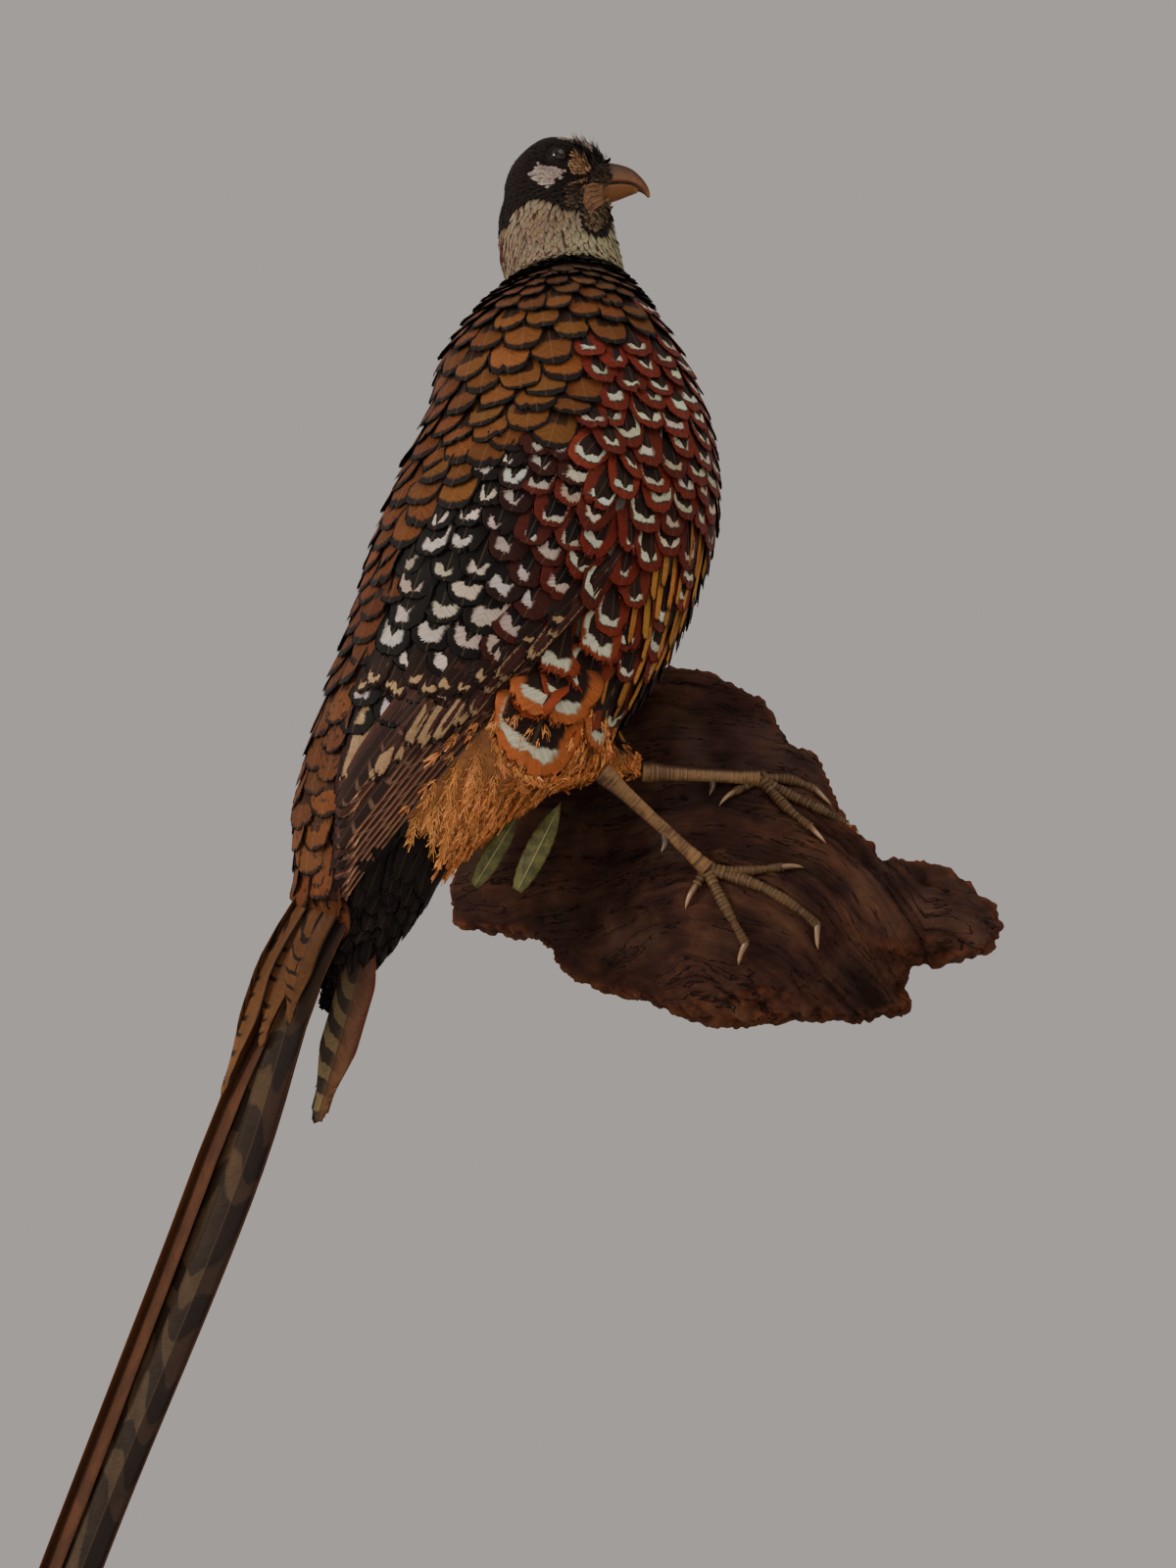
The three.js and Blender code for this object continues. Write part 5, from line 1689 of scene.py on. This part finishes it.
def scaleMaterial(name, low, high, rimTint, gloss):
    n = Nodes(name, gloss, Specular_IOR_Level=0.22)
    c, s, along = n.vector("marks")
    phase = n.math("FRACT", n.attribute("pitch")["Fac"])
    cloud = n.noise(n.place(), 230, 4.0, 0.6)
    grain = n.noise(n.place(), 1200, 2.0, 0.6)
    colour = n.mix(n.ramp(n.plus(s, n.times(n.minus(cloud, 0.5), 0.9)), -0.35, 0.45), low, high)
    colour = n.lay(colour, low, n.ramp(cloud, 0.5, 0.75), 0.5)
    stain = n.noise(n.place(), 90, 3.0, 0.6)
    colour = n.lay(colour, low, n.ramp(stain, 0.5, 0.62), 0.6)
    front = n.ramp(s, -0.25, 0.1)
    rim = n.times(n.ramp(phase, 0.62, 0.86), front)
    colour = n.lay(colour, rimTint, rim, 0.7)
    gapLine = n.times(n.fall(phase, 0.0, 0.14), front)
    colour = n.lay(colour, linear(34, 22, 16), gapLine, 0.8)
    tone = n.ramp(grain, 0.3, 0.7, 0.85, 1.12)
    colour = n.darken(colour, tone)
    cell = n.tree.nodes.new("ShaderNodeTexVoronoi")
    cell.feature = "DISTANCE_TO_EDGE"
    cell.inputs["Scale"].default_value = 520
    n.tree.links.new(n.place(), cell.inputs["Vector"])
    pebble = n.times(n.ramp(cell.outputs["Distance"], 0.0, 0.12), n.minus(1, front))
    n.bump(n.plus(n.times(grain, 0.3), pebble), 0.5, 0.0004)
    return n.finish(colour, n.ramp(cloud, 0.3, 0.7, gloss - 0.1, gloss + 0.12))


def scuteRelief(path, pitch, columns, rise):
    # overlapping plates over the front half: each one slopes up to its free edge
    along = distanceAlong(path) * 1000
    count = along / pitch + 0.35 * np.sin(along * 0.31) + 0.2 * np.sin(along * 0.83)
    phase = count % 1.0
    front = smoothStep(-0.25, 0.15, np.sin(np.linspace(0, 2 * math.pi, columns, endpoint=False)))
    saw = np.where(phase < 0.82, phase / 0.82, (1 - phase) / 0.18)
    worn = np.asarray(rise if np.ndim(rise) else [rise] * 2, float)
    height = np.interp(along / along[-1], np.linspace(0, 1, len(worn)), worn)
    return height[:, None] * saw[:, None] * front[None, :], count


def limbPart(points, width, height, up, columns, pitch, rise, perScute=6):
    rough = smoothPath(points, 40)
    total = np.linalg.norm(np.diff(rough, axis=0), axis=1).sum() * 1000
    path = smoothPath(points, int(total / pitch * perScute) + 4)
    share = np.linspace(0, 1, len(path))
    relief, count = scuteRelief(path, pitch, columns, rise)
    part = sweepTube(path, np.interp(share, *width), np.interp(share, *height), up, columns, relief)
    part["pitch"] = np.append(np.repeat(count, columns), [count[0], count[-1]])
    return part


def addPitch(thing, parts):
    layer = thing.data.attributes.new("pitch", "FLOAT", "POINT")
    layer.data.foreach_set("value", np.concatenate([part["pitch"] for part in parts]).astype(np.float32))


legScales = scaleMaterial("tarsus scales", linear(68, 42, 30), linear(130, 96, 62),
                          linear(138, 108, 74), 0.45)
toeScales = scaleMaterial("toe scales", linear(42, 29, 20), linear(82, 59, 37), linear(116, 88, 56), 0.5)


def clawMaterial(name, low, high):
    n = Nodes(name, 0.32, Coat_Weight=0.3, Coat_Roughness=0.25)
    c, s, along = n.vector("marks")
    lines = n.noise(n.join(n.times(c, 4), n.times(s, 4), n.times(along, 0.12)), 1.0, 4.0, 0.6)
    colour = n.mix(n.ramp(along, 1.0, 12.0), low, high)
    colour = n.mix(n.times(n.ramp(lines, 0.5, 0.7), 0.6), colour, low * 0.65)
    colour = n.mix(n.ramp(along, 0.2, 1.8, 0.7, 0.0), colour, linear(60, 44, 34))
    n.bump(lines, 0.3, 0.0003)
    return n.finish(colour, n.ramp(lines, 0.3, 0.7, 0.26, 0.45))


clawHorn = clawMaterial("claw horn", linear(106, 78, 56), linear(168, 132, 98))
spurHorn = clawMaterial("spur horn", linear(54, 38, 27), linear(100, 76, 54))


def toePath(leg, path):
    start = slabSpot(*leg["foot"], legPlan["depth"] - 0.6)
    return [start] + [slabSpot(*spot, legPlan["toe"] * (0.95 - 0.1 * i)) for i, spot in enumerate(path)]


def makeLeg(word, leg):
    outOfSlab = np.array([0, -1.0, 0])
    ankle = toWorld(leg["ankle"])
    foot = slabSpot(*leg["foot"], legPlan["depth"] + 1.2)
    middle = toePath(leg, leg["toes"]["middle"][0])[-1]
    front = unit(middle - foot + outOfSlab * 0.012)
    columns = 22
    shank = limbPart([ankle, ankle * 0.67 + foot * 0.33, ankle * 0.33 + foot * 0.67, foot],
                     (legPlan["shankStations"], legPlan["shankWidth"]),
                     (legPlan["shankStations"], legPlan["shankDepth"]),
                     front, columns, legPlan["scute"], legPlan["scuteRise"])
    thing = joinParts("shank_" + word, [shank], legScales, "leg_scales", ["tarsus_" + word])
    addPitch(thing, [shank])
    # the ball of the foot and the toes
    ball = ([0, 0.3, 0.7, 1], [3.4, 5.2, 5.6, 3.2])
    parts = [limbPart([slabSpot(*leg["foot"], height) for height in (7.4, 4.0, 0.4)], ball, ball,
                      front, columns, legPlan["toeScute"], 0.3)]
    for toeName, (path, tip) in leg["toes"].items():
        points = toePath(leg, path)
        joints = len(points) - 1
        share = np.linspace(0, 1, 8 * joints + 1)
        pads = 0.32 * np.cos(share * math.pi * 2 * joints)
        width = legPlan["toe"] * (1.08 - 0.4 * share) + pads
        height = legPlan["toe"] * (1.06 - 0.4 * share) + pads * 0.6
        parts.append(limbPart(points, (share, width), (share, height), outOfSlab, 16,
                              legPlan["toeScute"], 0.34))
        # the claw curves over and down to the wood
        root = points[-1]
        aim = unit(slabSpot(*tip, 0.6) - root) * legPlan["claw"] / 1000
        rise = outOfSlab * 2.4 / 1000
        curve = [root - aim * 0.12, root + aim * 0.35 + rise, root + aim * 0.75 + rise * 0.7,
                 root + aim - rise * 0.35]
        share = np.linspace(0, 1, 18)
        clawPath = smoothPath(curve, 18)
        wide = np.interp(share, legPlan["clawStations"], legPlan["clawWidth"])
        tall = np.interp(share, legPlan["clawStations"], legPlan["clawDepth"])
        claw = sweepTube(clawPath, wide, tall, outOfSlab, 12)
        joinParts(f"nail_{word}_{toeName}", [claw], clawHorn, "claw_horn", [f"claw_{word}_{toeName}"])
    thing = joinParts("toes_" + word, parts, toeScales, "toe_scales", ["foot_" + word])
    addPitch(thing, parts)
    # the spur at the back of the shank
    root = ankle + (foot - ankle) * leg["spur"]
    box = toBird(vertexPlaces(nodes["spur_" + word]))
    tip = toWorld(box[np.argmax(np.linalg.norm(box - toBird(root), axis=1))])
    aim = tip - root
    lift = unit(foot - ankle) * -0.0012
    curve = [root + aim * 0.1, root + aim * 0.5 - lift, root + aim * 0.8 - lift * 0.5, tip]
    share = np.linspace(0, 1, 16)
    spurPath = smoothPath(curve, 16)
    size = np.interp(share, [0, 0.35, 0.75, 1], [2.7, 2.1, 1.1, 0.15])
    spike = sweepTube(spurPath, size, size, unit(foot - ankle), 12)
    joinParts("spike_" + word, [spike], spurHorn, "claw_horn", ["spur_" + word])


for word, leg in legs.items():
    makeLeg(word, leg)


def nodeAxes(name):
    # centre, long, middle and thin direction of a flat CAD piece, with its half sizes
    spots = vertexPlaces(nodes[name])
    centre = spots.mean(0)
    _, _, axes = np.linalg.svd(spots - centre, full_matrices=False)
    reach = [np.ptp((spots - centre) @ axis) / 2 for axis in axes]
    for axis in axes:
        along = (spots - centre) @ axis
        centre = centre + axis * (along.max() + along.min()) / 2
    return centre, axes, reach


leafPlan = {"columns": 12, "rows": 26, "rib": 0.55, "cup": 1.6, "wave": 0.7}


def leafMaterial():
    n = Nodes("dry leaf", 0.5, Specular_IOR_Level=0.4)
    along, across, _ = n.vector("marks")
    side = n.absolute(across)
    cloud = n.noise(n.place(), 190, 4.0, 0.6)
    colour = n.mix(n.ramp(cloud, 0.3, 0.7), linear(56, 55, 26), linear(98, 96, 46))
    colour = n.lay(colour, linear(88, 66, 36), n.ramp(cloud, 0.6, 0.8), 0.7)
    vein = n.absolute(n.minus(n.math("FRACT", n.minus(n.times(along, 13), n.times(side, 2.2))), 0.5))
    veins = n.fall(vein, 0.0, 0.12)
    colour = n.lay(colour, linear(108, 102, 60), veins, 0.3)
    rib = n.fall(side, 0.02, 0.06)
    colour = n.mix(rib, colour, linear(140, 132, 84))
    colour = n.mix(n.ramp(side, 0.86, 1.0, 0.0, 0.7), colour, linear(104, 74, 38))
    n.bump(n.plus(veins, n.times(cloud, 2)), 0.4, 0.0003)
    return n.finish(colour)


leafSkin = leafMaterial()


def makeLeaf(name, node, seed):
    centre, axes, reach = nodeAxes(node)
    rng = np.random.default_rng(seed)
    v = np.linspace(-1, 1, leafPlan["rows"] + 1)[:, None]
    u = np.linspace(-1, 1, leafPlan["columns"] + 1)[None, :]
    outline = np.clip(1 - np.abs(v + 0.12) ** 2.3 / 1.3, 0.02, 1) * (1 - 0.2 * smoothStep(0.4, 1, v))
    ragged = 1 + 0.03 * np.sin(v * 31 + seed) + 0.02 * np.sin(v * 57)
    x = u * reach[1] * 1000 * outline * ragged
    cup = leafPlan["cup"] * (1 - u ** 2) * outline + leafPlan["wave"] * np.sin(v * 7 + seed) * u ** 2
    veins = 0.12 * np.cos((v * 6.5 - np.abs(u) * 1.1) * 2 * math.pi) * (np.abs(u) < 0.95)
    rib = leafPlan["rib"] * np.exp(-(u / 0.07) ** 2) + veins
    bow = 1.2 * (1 - v ** 2)
    z = cup + rib + bow - 1.2 + rng.normal(0, 0.05, (len(v), u.shape[1]))
    spots = centre + (v * reach[0])[..., None] * axes[0]
    spots = spots + (x[..., None] * axes[1] + z[..., None] * axes[2]) / 1000
    grid = np.arange(spots.shape[0] * spots.shape[1]).reshape(spots.shape[:2])
    marks = np.stack(np.broadcast_arrays(v * 0.5 + 0.5, u, 0 * u * v), -1).reshape(-1, 3)
    leaf = {"places": spots.reshape(-1, 3), "quads": gridFaces(grid), "tris": noTriangles,
            "marks": marks}
    thing = joinParts(name, [leaf], leafSkin, "leaf", [node])
    applyModifier(thing, "SOLIDIFY", thickness=0.0005, offset=0.0)


makeLeaf("leaf_long", "leaf_1", 2)
makeLeaf("leaf_short", "leaf_2", 5)


def outerRectrix():
    centre, axes, reach = nodeAxes("tail_outer")
    long = axes[0] * np.sign(-axes[0] @ forwardAxis)
    face = axes[2] * np.sign(axes[2] @ np.array([0, -1.0, 0]))
    steps = np.linspace(-0.98, 1.0, 15)
    spots = centre + (steps * reach[0])[:, None] * long
    ups, ways = np.repeat(face[None], len(steps), 0), np.repeat(long[None], len(steps), 0)
    feather = dict(track=(spots, ups, ways), half=9.8, depth=5.0, lift=0.6,
                   leftTint=np.array([linear(62, 44, 29), linear(112, 96, 64)]),
                   rightTint=np.array([linear(68, 40, 30), linear(106, 72, 48)]), barTint=linear(30, 19, 15),
                   edgeTint=linear(96, 50, 36), bands=(17, 0.46, 0.9), cut=(-0.5, 0.4, 0.7))
    piece = layQuills("short_tail_feather", [feather], "ribbon",
                      dict(longForm, round=1.9, widest=0.3, taper=0.5, ragged=0.7), 77)
    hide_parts("tail_outer")


outerRectrix()


def skinMaterial():
    n = Nodes("skin", 0.7)
    tone = n.noise(n.place(), 240, 3.0, 0.6)
    colour = n.mix(1.0, n.tint("skinTint"), n.ramp(tone, 0.3, 0.7, 0.75, 1.15), "MULTIPLY")
    n.bump(n.noise(n.place(), 900, 2.0), 0.4, 0.0006)
    return n.finish(colour)


def makeSkin():
    # the form itself becomes the skin, now that every feather has been laid on it
    skin = form
    skin.name = "skin"
    places, normals = vertexPlaces(skin), vertexNormals(skin)
    f, l, d = toBird(places).T
    onHead = smoothStep(180, 196, f)
    onNeck = smoothStep(135, 155, f) * smoothStep(0, 30, d)
    depth = skinPlan["bodyDepth"] * (1 - onNeck) + skinPlan["neckDepth"] * onNeck
    depth = depth * (1 - onHead) + skinPlan["headDepth"] * onHead
    setPlaces(skin, places - normals * depth[:, None] / 1000)
    gap = neckGap(places)
    region = bodyRegion(f, l, d, gap, np.zeros(len(f)))
    head = aboveCollar(gap, f)
    region[head] = headRegion(f[head], l[head], d[head])
    tint = 0.3 * table("band")[region] + 0.7 * table("base")[region]
    tint *= np.where(region == regionId["neck"], 1.0, 0.6)[:, None]
    tint[head & insideOutline(d, f, gapeOutline)] = linear(112, 74, 44)
    addTint(skin, "skinTint", tint)
    shadeSmooth(skin)
    finishPiece(skin, skinMaterial(), "body_feathers", *fleshNodes)
    print("skin made")


makeSkin()
